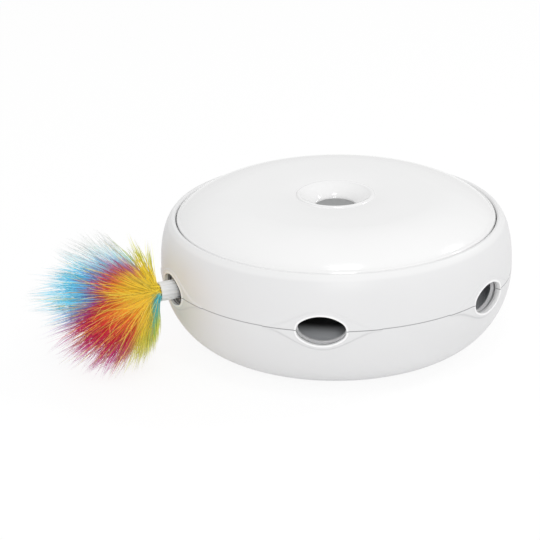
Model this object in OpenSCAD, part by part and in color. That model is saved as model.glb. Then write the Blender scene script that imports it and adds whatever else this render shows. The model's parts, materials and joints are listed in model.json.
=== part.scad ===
/* [Body] */
// Widest diameter of the body, at the seam
body_d = 200; // [180:1:240]
// Height of the seam between the lower and the upper shell
seam_h = 42; // [40:1:52]
// Height of the upper shell's rim above the seam
rim_rise = 29; // [27:1:36]
// Height of the lid's crest above that rim
dome_rise = 12; // [9:0.5:15]
// Wall thickness of the shells and the lid
wall = 2.3; // [1.9:0.1:2.8]
// Height of the base above the ground
foot_lift = 1.5; // [1:0.1:3]
// How far the edge of the flat base lies inside the widest radius
base_inset = 26; // [22:1:30]
// How far the edge of the lid lies inside the widest radius
lid_inset = 9.8; // [8:0.2:14]
// Gap between the lid and the upper shell's rim
lid_gap = 0.9; // [0.5:0.1:1.5]
// Diameter of the lid's crest circle
crest_d = 112; // [90:1:130]

/* [Side holes] */
// Number of holes round the body
hole_count = 6; // [4:1:6]
// Width of a hole along the seam
hole_w = 26.6; // [20:0.2:32]
// Height of a hole
hole_h = 16.8; // [14:0.2:19]
// Radius of the hole's rounded ends
end_r = 6; // [4:0.2:6.6]
// Width of the raised lip round a hole
lip_w = 1.2; // [0.8:0.1:2]
// How far the lip stands proud of the wall at the hole
lip_rise = 0.45; // [0.3:0.05:0.8]
// How far the soft swelling round a hole runs along the seam, past the hole's end
eye_w = 17; // [8:0.5:20]
// How far that swelling stands proud of the wall
eye_rise = 0.25; // [0.1:0.05:0.4]

/* [Guide ring] */
// Thickness of the ring that backs the holes
guide_t = 1.6; // [1.2:0.1:2.2]
// Gap between the ring and the shells
guide_gap = 1.2; // [0.5:0.1:1.6]
// How much smaller its holes are than those of the shells, at each edge
guide_step = 0.6; // [0:0.1:1.5]

/* [Button] */
// Diameter of the button's cap
button_d = 22.6; // [18:0.2:26]
// Depth of the button below the lid's crest
button_depth = 8; // [6:0.5:10]
// Travel of the button
button_travel = 1; // [0.5:0.1:1.5]
// Gap between the button and its well
button_gap = 0.4; // [0.2:0.1:0.8]

/* [Drum] */
// Diameter of the turning drum
drum_d = 132; // [120:1:138]
// Wall thickness of the drum
drum_wall = 2.4; // [1.8:0.1:3]
// Radius of the sweep between the drum and its flange
drum_sweep = 24; // [12:0.5:24]
// Diameter of the column that the drum turns on
column_d = 14; // [12:0.5:16]
// Radial running clearance of every turning fit
run_fit = 0.05; // [0.03:0.01:0.1]
// Full sweep of the drum, from the first hole to the last
sweep_angle = 300; // [240:60:300]

/* [Gears] */
// Gear module, the pitch diameter for each tooth
gear_m = 1.25; // [1:0.05:1.3]
// Pressure angle of the teeth
pressure = 25; // [22:1:27]
// Teeth on the drum gear
drum_teeth = 48; // [44:2:50]
// Teeth on the large wheel of the idler
idler_teeth = 28; // [24:1:28]
// Teeth on the two small pinions
pinion_teeth = 12; // [11:1:13]
// Thickness that each tooth gives up for backlash
backlash = 0.16; // [0.1:0.02:0.3]
// Width of the gear teeth along the axle
gear_w = 5; // [4:0.5:6]

/* [Power] */
// Diameter of a battery cell
cell_d = 14.5; // [14:0.1:16]
// Length of a battery cell with its nub
cell_l = 50.5; // [48:0.5:52]
// Number of cells side by side
cell_count = 3; // [2:1:3]
// Distance between the middles of neighbouring cells
cell_pitch = 15.2; // [15:0.1:17]

/* [Feather] */
// Diameter of the fluted sleeve
stem_d = 11; // [9:0.5:13]
// Number of flutes round the sleeve
flute_count = 14; // [10:1:18]
// How far the sleeve reaches out of the wall
stem_reach = 8; // [5:0.5:14]
// Length of the longest barbs
plume_l = 76; // [55:1:80]
// Rows of barbs across the plume, each as many as there are rows
plume_rows = 18; // [12:1:20]

/* [Hidden] */
$fn = 64;
eps = 0.01;
root = 1;

// Body outline
body_r = body_d / 2;
base_r = body_r - base_inset;
rim_z = seam_h + rim_rise;
crest_z = rim_z + dome_rise;
crest_r = crest_d / 2;
lid_r = body_r - lid_inset;
mouth_r = lid_r + lid_gap;
edge_round = 1.4;
rim_lean = 42;
rim_arc = [mouth_r + edge_round, rim_z - edge_round];
rim_end = rim_arc + edge_round * [cos(rim_lean), sin(rim_lean)];
curve_steps = 14;
ledge_drop = 4.5;
ledge_z = rim_z - ledge_drop;
ledge_r = 64;
well_r = button_d / 2 + button_gap;
button_z = crest_z - button_depth;
brim_r = well_r + 14.8;
sleeve_drop = 3.8;
sleeve_z = button_z - sleeve_drop;

belly = [[base_r, foot_lift], [base_r + 14, foot_lift + 3],
    [body_r, (foot_lift + seam_h) / 2], [body_r, seam_h]];
shoulder = [[body_r, seam_h], [body_r, seam_h + 0.42 * rim_rise],
    rim_end + 0.25 * rim_rise * [sin(rim_lean), -cos(rim_lean)], rim_end];
dome = [[lid_r - edge_round, rim_z + 0.2], [lid_r - 6.5, rim_z + 0.47 * dome_rise],
    [crest_r + 16, crest_z], [crest_r, crest_z]];
bowl = [[crest_r, crest_z], [crest_r - 10, crest_z], [brim_r + 10, crest_z], [brim_r, crest_z - 1]];
funnel = [[brim_r, crest_z - 1], [brim_r - 5.5, crest_z - 1.6],
    [well_r + 1.5, crest_z - 3], [well_r, button_z + 1]];

// Side holes: an oval of four arcs that meet tangentially, half of it cut in each shell
hole_step = 360 / hole_count;
hole_angles = [for (i = [0 : hole_count - 1]) 180 + i * hole_step];
side_r = (pow(hole_w / 2, 2) + pow(hole_h / 2, 2) - hole_w * end_r) / (hole_h - 2 * end_r);
side_off = side_r - hole_h / 2;
end_off = hole_w / 2 - end_r;
hole_reach = 12;
eye_half = hole_w / 2 + eye_w;
eye_h = hole_h / 2 + 1.5 * lip_w;

// Guide ring
guide_low = 0.78;
guide_high = 0.62;
guide_shelf = 1.4;
guide_z0 = bez(belly, guide_low)[1] + 1.4;
guide_z1 = bez(shoulder, guide_high)[1] - 1.8;
hook_half = 4;
notch_half = 5.2;

// Deck and base
floor_z = foot_lift + wall;
door_t = 1.8;
door_gap = 0.3;
cell_gap = 0.5;
cell_z = foot_lift + door_t + cell_gap + cell_d / 2;
box_wall = 1.6;
box_end = 4;
box_l = cell_l + 2 * box_end;
box_w = (cell_count - 1) * cell_pitch + cell_d + 0.6;
box_top = cell_z + cell_d / 2 + cell_gap + box_wall;
deck_t = 2.2;
deck_z = box_top + 0.8;
deck_top = deck_z + deck_t;
deck_r = body_r - 14;
post_r = base_r - 6;
post_seat = 11;
screw_r = 1.4;
screw_fit = 0.05;
head_r = 2.8;
head_h = 2;
foot_r = 6;
foot_pocket = 0.8;
foot_place = base_r - 10;

// Drum and its bearing
drum_r = drum_d / 2;
boss_h = 0.7;
boss_r = 11;
washer_t = 0.7;
end_play = 0.1;
hub_z = deck_top + boss_h + washer_t + end_play;
hub_r = 11;
key_w = 3;
key_h = 1.2;
drum_top = ledge_z - 8;
flange_z = deck_top + 4.3;
flange_r = body_r - 9;
drum_round = 5;
column_r = column_d / 2;
column_bore = 4;
ring_t = 0.8;
ring_groove = 0.8;
column_top = drum_top + 2;
stop_r = flange_r - 10;
stop_w = 3;
lug_angle = 20;
stop_slack = 1;
stop_angle = 360 - sweep_angle - lug_angle - 2 * stop_slack;
stop_h = 1.4;
sweep_r = min(drum_sweep, flange_r - drum_r - 0.5, drum_top - drum_round - flange_z);
sweep_arc = [drum_r + sweep_r, flange_z + sweep_r];

// Gears
gear_z = hub_z + 0.8;
small_r = gear_m * pinion_teeth / 2;
web_in = hub_r + 5.5;
web_out = gear_m * (drum_teeth / 2 - 1.2) - 4;
idler_x = gear_m * (drum_teeth + pinion_teeth) / 2;
mesh_d = gear_m * (idler_teeth + pinion_teeth) / 2;
idler_a = 60;
motor_rho = 40;
motor_off = acos((pow(idler_x, 2) + pow(motor_rho, 2) - pow(mesh_d, 2)) / (2 * idler_x * motor_rho));
motor_a = idler_a + motor_off;
idler_at = [idler_x * cos(idler_a), idler_x * sin(idler_a)];
motor_at = [motor_rho * cos(motor_a), motor_rho * sin(motor_a)];
pinion_side = atan2(motor_at[1] - idler_at[1], motor_at[0] - idler_at[0]);
pin_r = 1.5;
box_motor = [12, 10, 9];
can_r = 6;
can_l = 15;
motor_top = deck_top + box_motor[2];
clamp_t = 1.2;
clamp_w = 5;
wheel_z = motor_top + clamp_t + 0.7;
idler_z = deck_top + 1.9;

// Board, switch and button
board_t = 1.6;
board_r = 23;
board_z = column_top + 1.6;
board_hole = 18.5;
switch_w = 6.2;
switch_h = 3.4;
flange_t = 1.6;
flange_lip = 1.6;
plunger_z = board_z + board_t + switch_h;
plunger_h = button_travel + 0.6;
plunger_in = 1.3;
plunger_r = 1.7;
spring_r = 7;
spring_wire = 0.4;
spring_turns = 3;

// Feather
stem_r = stem_d / 2;
flute_depth = 0.35;
stem_in = drum_r - 1;
stem_out = body_r + stem_reach;
stem_bore = stem_r - 1.3;
socket_r = stem_r + 2.6;
socket_out = drum_r + 14;
core_r = 3.8;
core_x = stem_out + 3.8;
plume_cone = 100;
plume_up = 35;
plume_down = 40;
plume_side = 44;
plume_droop = 0.0007;
crimp_l = 6;

function bez(p, t) = pow(1 - t, 3) * p[0] + 3 * pow(1 - t, 2) * t * p[1]
    + 3 * (1 - t) * t * t * p[2] + t * t * t * p[3];
function slope(p, t) = pow(1 - t, 2) * (p[1] - p[0]) + 2 * (1 - t) * t * (p[2] - p[1])
    + t * t * (p[3] - p[2]);
function normal(p, t) = let(d = slope(p, t)) [d[1], -d[0]] / norm(d);
// Points of a curve, moved outward by off, from t = a to t = b
function skin(p, off = 0, a = 0, b = 1, n = curve_steps) =
    [for (i = [0 : n]) let(t = a + (b - a) * i / n) bez(p, t) + off * normal(p, t)];
function flip(list) = [for (i = [len(list) - 1 : -1 : 0]) list[i]];
function arc(c, r, a, b, n = 6) = [for (i = [0 : n]) let(t = a + (b - a) * i / n)
    c + r * [cos(t), sin(t)]];

// Involute gear outline, with its first tooth centred on angle 0
function inv_angle(a) = tan(a) * 180 / PI - a;
function tooth(teeth, low, high) =
    let(rp = gear_m * teeth / 2, rb = rp * cos(pressure),
        half = 90 / teeth - backlash / 2 / rp * 180 / PI + inv_angle(pressure))
    [for (i = [0 : 4]) let(r = max(rb, low) + (high - max(rb, low)) * i / 4)
        [r, half - inv_angle(acos(min(1, rb / r)))]];
function gear_points(teeth) =
    let(rp = gear_m * teeth / 2, low = rp - 1.2 * gear_m, high = rp + gear_m,
        side = tooth(teeth, low, high), foot = [low, side[0][1]])
    [for (k = [0 : teeth - 1]) let(c = 360 * k / teeth)
        for (q = concat([[foot[0], -foot[1]]], [for (s = side) [s[0], -s[1]]],
            flip(side), [foot])) q[0] * [cos(c + q[1]), sin(c + q[1])]];
// Turn of a gear, so that it meshes at angle side with a gear of drive_teeth that is turned by drive_turn
function mesh_turn(teeth, side, drive_teeth, drive_turn) =
    side + 180 + 180 / teeth - (drive_turn - side) * drive_teeth / teeth;

idler_turn = mesh_turn(pinion_teeth, idler_a, drum_teeth, 0);
motor_turn = mesh_turn(pinion_teeth, pinion_side, idler_teeth, idler_turn);

// A round wire swept along points, closed at both ends
module sweep(path, r, sides) {
    n = len(path);
    function ahead(i) = path[min(i + 1, n - 1)] - path[max(i - 1, 0)];
    rings = [for (i = [0 : n - 1])
        let(d = ahead(i) / norm(ahead(i)), a = cross(d, [0, 0, 1]), u = a / norm(a), v = cross(d, u))
        for (k = [0 : sides - 1]) path[i] + r * (cos(360 * k / sides) * u + sin(360 * k / sides) * v)];
    walls = [for (i = [0 : n - 2]) for (k = [0 : sides - 1])
        let(a = i * sides + k, b = i * sides + (k + 1) % sides)
        for (f = [[a, b, b + sides], [a, b + sides, a + sides]]) f];
    ends = [for (k = [1 : sides - 2])
        for (f = [[0, k + 1, k], [(n - 1) * sides, (n - 1) * sides + k, (n - 1) * sides + k + 1]]) f];
    polyhedron(rings, concat(walls, ends));
}

// A coil round +Z, from z = 0 to z = h, its radius going from r0 to r1
module coil(r0, r1, h, turns, wire) {
    steps = ceil(turns * 12);
    sweep([for (i = [0 : steps]) let(t = i / steps, a = 360 * turns * t, r = r0 + (r1 - r0) * t)
        [r * cos(a), r * sin(a), wire + (h - 2 * wire) * t]], wire, 6);
}

module at_holes() for (a = hole_angles) rotate([0, 0, a]) children();
module between_holes() for (a = hole_angles) rotate([0, 0, a + hole_step / 2]) children();

// Outline of a hole, with every arc grown outward
module oval(grow = 0) {
    meet = end_off + (end_r + grow) * end_off / (side_r - end_r);
    intersection() {
        translate([0, -side_off]) circle(side_r + grow, $fn = 128);
        translate([0, side_off]) circle(side_r + grow, $fn = 128);
        translate([-meet, -hole_h]) square([2 * meet, 2 * hole_h]);
    }
    for (s = [-1, 1]) translate([s * end_off, 0]) circle(end_r + grow);
}

// Bell-shaped outline of the soft swelling round a hole
module eye() {
    bell = [for (i = [-5 : 5]) [i / 6 * eye_half, eye_h * pow(cos(90 * i / 6), 2)]];
    polygon(concat(bell, flip([for (q = bell) [q[0], -q[1]]])));
}

// A flat outline stood up at each hole and drawn through the wall
module through_wall() at_holes() translate([body_r - hole_reach, 0, seam_h]) rotate([90, 0, 90])
    linear_extrude(2 * hole_reach) children();

// What stands proud of one shell round its part of each hole; its face follows the wall
module hole_lips(curve, a, b) {
    module raised(rise) intersection() {
        rotate_extrude($fn = 128)
            polygon(concat(skin(curve, rise, a, b, 6), flip(skin(curve, -wall / 2, a, b, 2))));
        through_wall() children();
    }
    raised(eye_rise) eye();
    raised(lip_rise) oval(lip_w);
}

module post_holes() for (a = hole_angles) rotate([0, 0, a + hole_step / 2])
    translate([post_r, 0]) children();

module screw(length) {
    cylinder(r = head_r, h = head_h);
    translate([0, 0, head_h - eps]) cylinder(r = screw_r, h = length + eps);
}

module lower_shell() color("white") difference() {
    union() {
        rotate_extrude($fn = 128) polygon(concat([[0, foot_lift], [base_r - 3, foot_lift],
            [base_r - 2.4, foot_lift - 0.8], [base_r - 0.8, foot_lift - 0.8]],
            skin(belly), flip(skin(belly, -wall)), [[0, floor_z]]));
        hole_lips(belly, 0.55, 1);
        rotate_extrude($fn = 128) guide_seat(belly, guide_low, guide_z0 - guide_shelf - run_fit);
        translate([-box_l / 2 - box_wall, -box_w / 2 - box_wall, floor_z - root])
            cube([box_l + 2 * box_wall, box_w + 2 * box_wall, box_top - floor_z + root]);
        post_holes() translate([0, 0, floor_z - root]) cylinder(r = 4.6, h = post_seat - floor_z + root);
        for (s = [-1, 1]) translate([s * pivot_x - 2.5, pivot_y - 2.2, floor_z - root])
            cube([5, 4.4, 1.6 + root]);
        between_holes() rotate([0, 0, -hook_half]) rotate_extrude(angle = 2 * hook_half, $fn = 128)
            translate([body_r - wall - 1.1, seam_h - 4.6]) square([1.3, 1.2]);
    }
    through_wall() oval();
    // Battery compartment, door recess and door pivot
    translate([-box_l / 2, -box_w / 2, foot_lift - 1])
        cube([box_l, box_w, box_top - box_wall - foot_lift + 1]);
    translate([-door_l / 2 - door_gap, -door_w / 2, foot_lift - 1])
        cube([door_l + 2 * door_gap, door_w + door_gap, door_t + 1 + door_gap / 2]);
    translate([0, pivot_y, pivot_z]) rotate([0, 90, 0])
        cylinder(r = pivot_barrel + 0.1, h = door_l + 2 * door_gap, center = true);
    translate([-door_l / 2 - door_gap, pivot_y - pivot_barrel - 0.1, foot_lift - 1])
        cube([door_l + 2 * door_gap, pivot_barrel + 0.2, pivot_z - foot_lift + 1]);
    translate([0, pivot_y, pivot_z]) rotate([0, 90, 0])
        cylinder(r = pivot_r + run_fit, h = 2 * pivot_end + 0.4, center = true);
    translate([-6, door_w / 2 - eps, foot_lift - 1]) cube([12, 5.5, door_t + 1]);
    post_holes() {
        translate([0, 0, foot_lift - 1]) cylinder(r = head_r + 0.3, h = post_seat - 2.5 - foot_lift + 1);
        cylinder(r = screw_r + 0.2, h = post_seat + 1);
    }
    at_holes() translate([foot_place, 0, foot_lift - 1]) cylinder(r = foot_r + 0.15, h = foot_pocket + 1);
}

// Shelf that the guide ring stands on or is held down by
module guide_seat(curve, t, low) {
    inner = bez(curve, t)[0] - wall - guide_gap - guide_t - 0.6;
    translate([inner, low]) square([bez(curve, t)[0] - wall * 0.6 - inner, guide_shelf]);
}

under_shoulder = [for (q = flip(skin(shoulder, -wall))) if (q[1] < ledge_z - wall - 0.5) q];

module upper_shell() color("whitesmoke") difference() {
    union() {
        rotate_extrude($fn = 128) polygon(concat(
            skin(shoulder, 0, 0, 1 - 1 / curve_steps, curve_steps - 1),
            arc(rim_arc, edge_round, rim_lean, 180),
            [[mouth_r, ledge_z], [ledge_r, ledge_z], [ledge_r, ledge_z - wall],
                [under_shoulder[0][0] - 0.4, ledge_z - wall]], under_shoulder));
        hole_lips(shoulder, 0, 0.65);
        rotate_extrude($fn = 128) guide_seat(shoulder, guide_high, guide_z1 + 0.2);
        between_holes() rotate([0, 0, -hook_half]) rotate_extrude(angle = 2 * hook_half, $fn = 128)
            polygon([[body_r - wall + 0.2, seam_h + 8], [body_r - wall + 0.2, seam_h + 3],
                [body_r - wall - 1.2, seam_h + 1], [body_r - wall - 1.2, seam_h - 4.8],
                [body_r - wall - 0.5, seam_h - 4.8], [body_r - wall - 0.5, seam_h - 6],
                [body_r - wall - 1.3, seam_h - 8], [body_r - wall - 2.6, seam_h - 8],
                [body_r - wall - 2.6, seam_h + 8]]);
    }
    through_wall() oval();
    between_holes() translate([lid_screw_r, 0, ledge_z - wall - 1])
        cylinder(r = screw_r + 0.2, h = wall + 2);
}

lid_screw_r = ledge_r + 8;
lid_boss_r = 4;
// How far a boss goes into the lid's wall at its outer side
lid_boss_bite = 0.95737;
lid_boss_top = lookup(lid_screw_r + lid_boss_r, skin(dome, -wall)) + lid_boss_bite;

module top_lid() color("white") difference() {
    union() {
        rotate_extrude($fn = 128) polygon(concat(
            [[lid_r - wall, ledge_z], [lid_r, ledge_z]],
            arc([lid_r - edge_round, rim_z - edge_round + 0.2], edge_round, 0, 90),
            skin(dome), skin(bowl, 0, 0.1, 1), skin(funnel, 0, 0.1, 1), [[well_r, sleeve_z],
            [well_r + wall, sleeve_z]],
            flip(skin(funnel, -wall)), flip(skin(bowl, -wall, 0, 0.9)), flip(skin(dome, -wall, 0.12, 0.92))));
        between_holes() translate([lid_screw_r, 0, ledge_z])
            cylinder(r = lid_boss_r, h = lid_boss_top - ledge_z);
        for (a = [0, 120, 240]) rotate([0, 0, a + 30]) translate([board_hole, 0, board_z + board_t])
            cylinder(r = 2.8, h = crest_z - 4.4 - board_z - board_t);
    }
    between_holes() translate([lid_screw_r, 0, ledge_z - 1]) cylinder(r = screw_r + screw_fit, h = 10);
    for (a = [0, 120, 240]) rotate([0, 0, a + 30]) translate([board_hole, 0, board_z])
        cylinder(r = 1.05, h = 9);
}

module guide_ring() color("gainsboro") {
    inner = -(wall + guide_gap + guide_t);
    outer = -(wall + guide_gap);
    difference() {
        rotate_extrude($fn = 128) polygon(concat(
            skin(belly, outer, guide_low, 0.98, 6), skin(shoulder, outer, 0, guide_high, 8),
            flip(skin(shoulder, inner, 0, guide_high, 8)), flip(skin(belly, inner, guide_low, 0.98, 6))));
        through_wall() oval(-guide_step);
        between_holes() rotate([0, 0, -notch_half]) rotate_extrude(angle = 2 * notch_half, $fn = 128)
            translate([body_r - 12, seam_h - 9]) square([14, rim_rise]);
        translate([0, 0, guide_z1]) cylinder(r = body_r, h = rim_rise);
        translate([0, 0, guide_z0 - rim_rise]) cylinder(r = body_r, h = rim_rise);
    }
}

module deck() color("silver") difference() {
    union() {
        translate([0, 0, deck_z]) cylinder(r = deck_r, h = deck_t, $fn = 128);
        difference() {
            translate([0, 0, deck_z]) cylinder(r = deck_r, h = deck_t + 1.4, $fn = 128);
            translate([0, 0, deck_z - 1]) cylinder(r = deck_r - 1.6, h = deck_t + 4, $fn = 128);
        }
        post_holes() translate([0, 0, post_seat]) cylinder(r = 3.6, h = deck_z - post_seat + eps);
        translate([0, 0, deck_top - eps]) cylinder(r = boss_r, h = boss_h + eps);
        translate([0, 0, deck_top]) cylinder(r = column_r, h = column_top - deck_top);
        for (k = [0 : 5]) rotate([0, 0, 60 * k + 30]) translate([boss_r - 1, -0.8, deck_z - 0.6])
            cube([deck_r - boss_r - 1, 1.6, 0.6 + eps]);
        translate([idler_at[0], idler_at[1], deck_z]) cylinder(r = 4, h = deck_t + 1.2);
        rotate([0, 0, stop_at - stop_angle / 2]) rotate_extrude(angle = stop_angle, $fn = 128)
            translate([stop_r - stop_w / 2, deck_top - eps]) square([stop_w, stop_h + eps]);
        for (s = [-1, 1]) translate([motor_at[0], motor_at[1], 0]) rotate([0, 0, motor_a])
            translate([0, s * clamp_screw, deck_z - 4]) cylinder(r = 2.6, h = 4 + eps);
    }
    translate([0, 0, deck_z - 2]) cylinder(r = column_bore, h = column_top);
    post_holes() translate([0, 0, post_seat - 1]) cylinder(r = screw_r + screw_fit, h = 10.5);
    translate([idler_at[0], idler_at[1], deck_z - 2]) cylinder(r = pin_r + 0.02, h = 10);
    translate([motor_at[0], motor_at[1], deck_z - 1]) cylinder(r = can_r + 0.2, h = deck_t + 2);
    for (s = [-1, 1]) translate([motor_at[0], motor_at[1], 0]) rotate([0, 0, motor_a])
        translate([0, s * clamp_screw, deck_z - 3.4]) cylinder(r = 1.05, h = 8);
    difference() {
        translate([0, 0, drum_top + 0.3]) cylinder(r = column_r + 1, h = ring_t + 0.1);
        translate([0, 0, drum_top - 1]) cylinder(r = column_r - ring_groove, h = 4);
    }
}

// Point in the middle of the swept wall, at a given radius
function mid_sweep(r) = [r, sweep_arc[1] - sqrt(pow(sweep_r + drum_wall / 2, 2)
    - pow(max(0, sweep_arc[0] - r), 2))];
lug_at = 180;
stop_at = lug_at + sweep_angle * 0.4 + lug_angle / 2 + stop_slack + stop_angle / 2;
clamp_screw = box_motor[1] / 2 + 4.4;

module drum() color("darkgray") difference() {
    union() {
        rotate_extrude($fn = 128) polygon(concat(
            [[hub_r - 1, drum_top]],
            arc([drum_r - drum_round, drum_top - drum_round], drum_round, 90, 0),
            arc(sweep_arc, sweep_r, 180, 270, 12),
            [[flange_r, flange_z], [flange_r, flange_z - drum_wall]],
            arc(sweep_arc, sweep_r + drum_wall, 270, 180, 12),
            arc([drum_r - drum_round, drum_top - drum_round], drum_round - drum_wall, 0, 90),
            [[hub_r - 1, drum_top - drum_wall]]));
        translate([0, 0, hub_z]) cylinder(r = hub_r, h = drum_top - hub_z);
        translate([0, 0, gear_z + gear_w]) cylinder(r = hub_r + 2, h = drum_top - gear_z - gear_w - 1);
        for (s = [0, 180]) rotate([0, 0, s]) translate([hub_r - 1, -key_w / 2, gear_z])
            cube([1 + key_h, key_w, gear_w + 1]);
        for (k = [0 : 5]) rotate([0, 0, 60 * k + 30]) translate([hub_r, -0.8, drum_top - 9])
            cube([drum_r - hub_r - 1, 1.6, 9 - 1]);
        translate([-socket_out, 0, seam_h]) rotate([0, 90, 0])
            cylinder(r = socket_r, h = socket_out - drum_r + 3.4);
        rotate([0, 0, lug_at - lug_angle / 2]) rotate_extrude(angle = lug_angle, $fn = 128)
            polygon(concat([[stop_r - stop_w / 2, deck_top + 0.5], [stop_r + stop_w / 2, deck_top + 0.5]],
                [for (k = [2 : -1 : -2]) mid_sweep(stop_r + k * stop_w / 4)]));
    }
    translate([0, 0, hub_z - 1]) cylinder(r = column_r + run_fit, h = drum_top - hub_z + 2);
    translate([-socket_out - 1, 0, seam_h]) rotate([0, 90, 0])
        cylinder(r = stem_r + run_fit, h = socket_out - stem_in + 1);
}

module drum_gear() color("ivory") translate([0, 0, gear_z]) difference() {
    linear_extrude(gear_w) polygon(gear_points(drum_teeth));
    translate([0, 0, -1]) cylinder(r = hub_r + 0.03, h = gear_w + 2);
    for (s = [0, 180]) rotate([0, 0, s]) translate([hub_r - 1, -key_w / 2 - 0.05, -1])
        cube([1 + key_h + 0.05, key_w + 0.1, gear_w + 2]);
    for (k = [0 : 5]) rotate([0, 0, 60 * k + 30]) translate([(web_in + web_out) / 2, 0, -1])
        cylinder(r = (web_out - web_in) / 2, h = gear_w + 2);
}

module thrust_washer() color("goldenrod") translate([0, 0, deck_top + boss_h]) difference() {
    cylinder(r = hub_r, h = washer_t);
    translate([0, 0, -1]) cylinder(r = column_r + 0.1, h = washer_t + 2);
}

module retaining_ring() color("dimgray") translate([0, 0, drum_top + 0.35]) difference() {
    cylinder(r = column_r + 3.4, h = ring_t);
    translate([0, 0, -1]) cylinder(r = column_r - ring_groove + 0.03, h = ring_t + 2);
    translate([0, -4, -1]) cube([2 * column_r, 8, ring_t + 2]);
}

module at_motor() translate([motor_at[0], motor_at[1], 0]) rotate([0, 0, motor_a]) children();

module gear_motor() color("silver") at_motor() difference() {
    union() {
        translate([-box_motor[0] / 2, -box_motor[1] / 2, deck_top]) cube(box_motor);
        intersection() {
            translate([0, 0, deck_top - can_l]) cylinder(r = can_r, h = can_l + eps);
            translate([-can_r, -box_motor[1] / 2, deck_top - can_l]) cube([2 * can_r, box_motor[1], can_l + 1]);
        }
        translate([0, 0, deck_top - can_l - 0.8]) cylinder(r = 2.4, h = 1);
    }
    translate([0, 0, motor_top - 4]) cylinder(r = pin_r + run_fit, h = 5);
}

module motor_clamp() color("whitesmoke") at_motor() difference() {
    translate([-clamp_w, -clamp_screw - 2.6, deck_top])
        cube([2 * clamp_w, 2 * clamp_screw + 5.2, box_motor[2] + clamp_t]);
    translate([-clamp_w - 1, -box_motor[1] / 2 - 0.1, deck_top - 1])
        cube([2 * clamp_w + 2, box_motor[1] + 0.2, box_motor[2] + 1.05]);
    for (s = [-1, 1]) {
        translate([-clamp_w - 1, s > 0 ? box_motor[1] / 2 + 1.4 : -clamp_screw - 4, deck_top + 2.4])
            cube([2 * clamp_w + 2, clamp_screw + 4 - box_motor[1] / 2 - 1.4, box_motor[2] + 2]);
        translate([0, s * clamp_screw, deck_top - 1]) cylinder(r = 1.2, h = 6);
    }
    translate([0, 0, motor_top - 1]) cylinder(r = 3, h = 4);
}

module clamp_screws() color("gray") at_motor() for (s = [-1, 1])
    translate([0, s * clamp_screw, 0]) {
        translate([0, 0, deck_top + 2.4]) cylinder(r = 2, h = 1.4);
        translate([0, 0, deck_z - 3]) cylinder(r = 1, h = deck_t + 3 + 2.5);
    }

module motor_shaft() color("lightgray") at_motor() difference() {
    translate([0, 0, motor_top - 3.9]) cylinder(r = pin_r, h = wheel_z + gear_w - motor_top + 4.9);
    translate([pin_r - 0.5, -pin_r, motor_top + 0.4]) cube([1, 2 * pin_r, 20]);
}

module motor_pinion() color("ivory") translate([motor_at[0], motor_at[1], wheel_z]) difference() {
    rotate([0, 0, motor_turn]) linear_extrude(gear_w) polygon(gear_points(pinion_teeth));
    difference() {
        translate([0, 0, -1]) cylinder(r = pin_r + 0.02, h = gear_w + 2);
        rotate([0, 0, motor_a]) translate([pin_r - 0.48, -pin_r - 1, -2]) cube([2, 2 * pin_r + 2, gear_w + 4]);
    }
}

// Its head keeps the idler down
module idler_pin() color("lightgray") translate([idler_at[0], idler_at[1], 0]) {
    translate([0, 0, deck_z]) cylinder(r = pin_r, h = wheel_z + gear_w + 0.5 - deck_z);
    translate([0, 0, wheel_z + gear_w + 0.3]) cylinder(r = 2 * pin_r, h = 1.2);
}

module idler_gear() color("ivory") translate([idler_at[0], idler_at[1], 0])
    rotate([0, 0, idler_turn]) difference() {
        union() {
            translate([0, 0, idler_z]) linear_extrude(wheel_z - idler_z + eps)
                polygon(gear_points(pinion_teeth));
            translate([0, 0, wheel_z]) linear_extrude(gear_w) polygon(gear_points(idler_teeth));
        }
        translate([0, 0, idler_z - 1]) cylinder(r = pin_r + run_fit, h = wheel_z + gear_w - idler_z + 2);
        for (k = [0 : 4]) rotate([0, 0, 72 * k]) translate([10.8, 0, wheel_z - 1])
            cylinder(r = 2.6, h = gear_w + 2);
    }

module circuit_board() color("seagreen") difference() {
    translate([0, 0, board_z]) cylinder(r = board_r, h = board_t);
    for (a = [0, 120, 240]) rotate([0, 0, a + 30]) translate([board_hole, 0, board_z - 1])
        cylinder(r = 1.3, h = board_t + 2);
}

module board_parts() color("dimgray") translate([0, 0, board_z + board_t]) {
    translate([-14.5, -3, 0]) cube([4, 6, 1.5]);
    translate([9, -12, 0]) cylinder(r = 2.5, h = 4);
    translate([10.5, -4, 0]) cube([5, 8, 4]);
    translate([-3, 12, 0]) cube([6, 4, 1.2]);
}

module board_screws() color("gray") for (a = [0, 120, 240]) rotate([0, 0, a + 30])
    translate([board_hole, 0, 0]) {
        translate([0, 0, board_z - 1.2]) cylinder(r = 2, h = 1.2);
        translate([0, 0, board_z - eps]) cylinder(r = 1, h = board_t + 5);
    }

module switch_body() color("dimgray") difference() {
    translate([-switch_w / 2, -switch_w / 2, board_z + board_t]) cube([switch_w, switch_w, switch_h]);
    translate([0, 0, plunger_z - plunger_in - button_travel - 0.1]) cylinder(r = plunger_r + run_fit, h = switch_h);
}

module switch_plunger() color("black")
    translate([0, 0, plunger_z - plunger_in]) cylinder(r = plunger_r, h = plunger_h + plunger_in);

module power_button() color("gray") {
    stem_z = plunger_z + plunger_h;
    rotate_extrude() polygon(concat([[0, stem_z], [2.4, stem_z], [2.4, sleeve_z - 0.2 - flange_t],
        [button_d / 2 + flange_lip, sleeve_z - 0.2 - flange_t], [button_d / 2 + flange_lip, sleeve_z - 0.2],
        [button_d / 2, sleeve_z - 0.2]],
        arc([button_d / 2 - 0.6, button_z - 0.6], 0.6, 0, 90, 4), [[0, button_z - 0.3]]));
}

module button_spring() color("silver") translate([0, 0, board_z + board_t + 0.05])
    coil(spring_r, spring_r, sleeve_z - 0.3 - flange_t - board_z - board_t, spring_turns, spring_wire);

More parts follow.
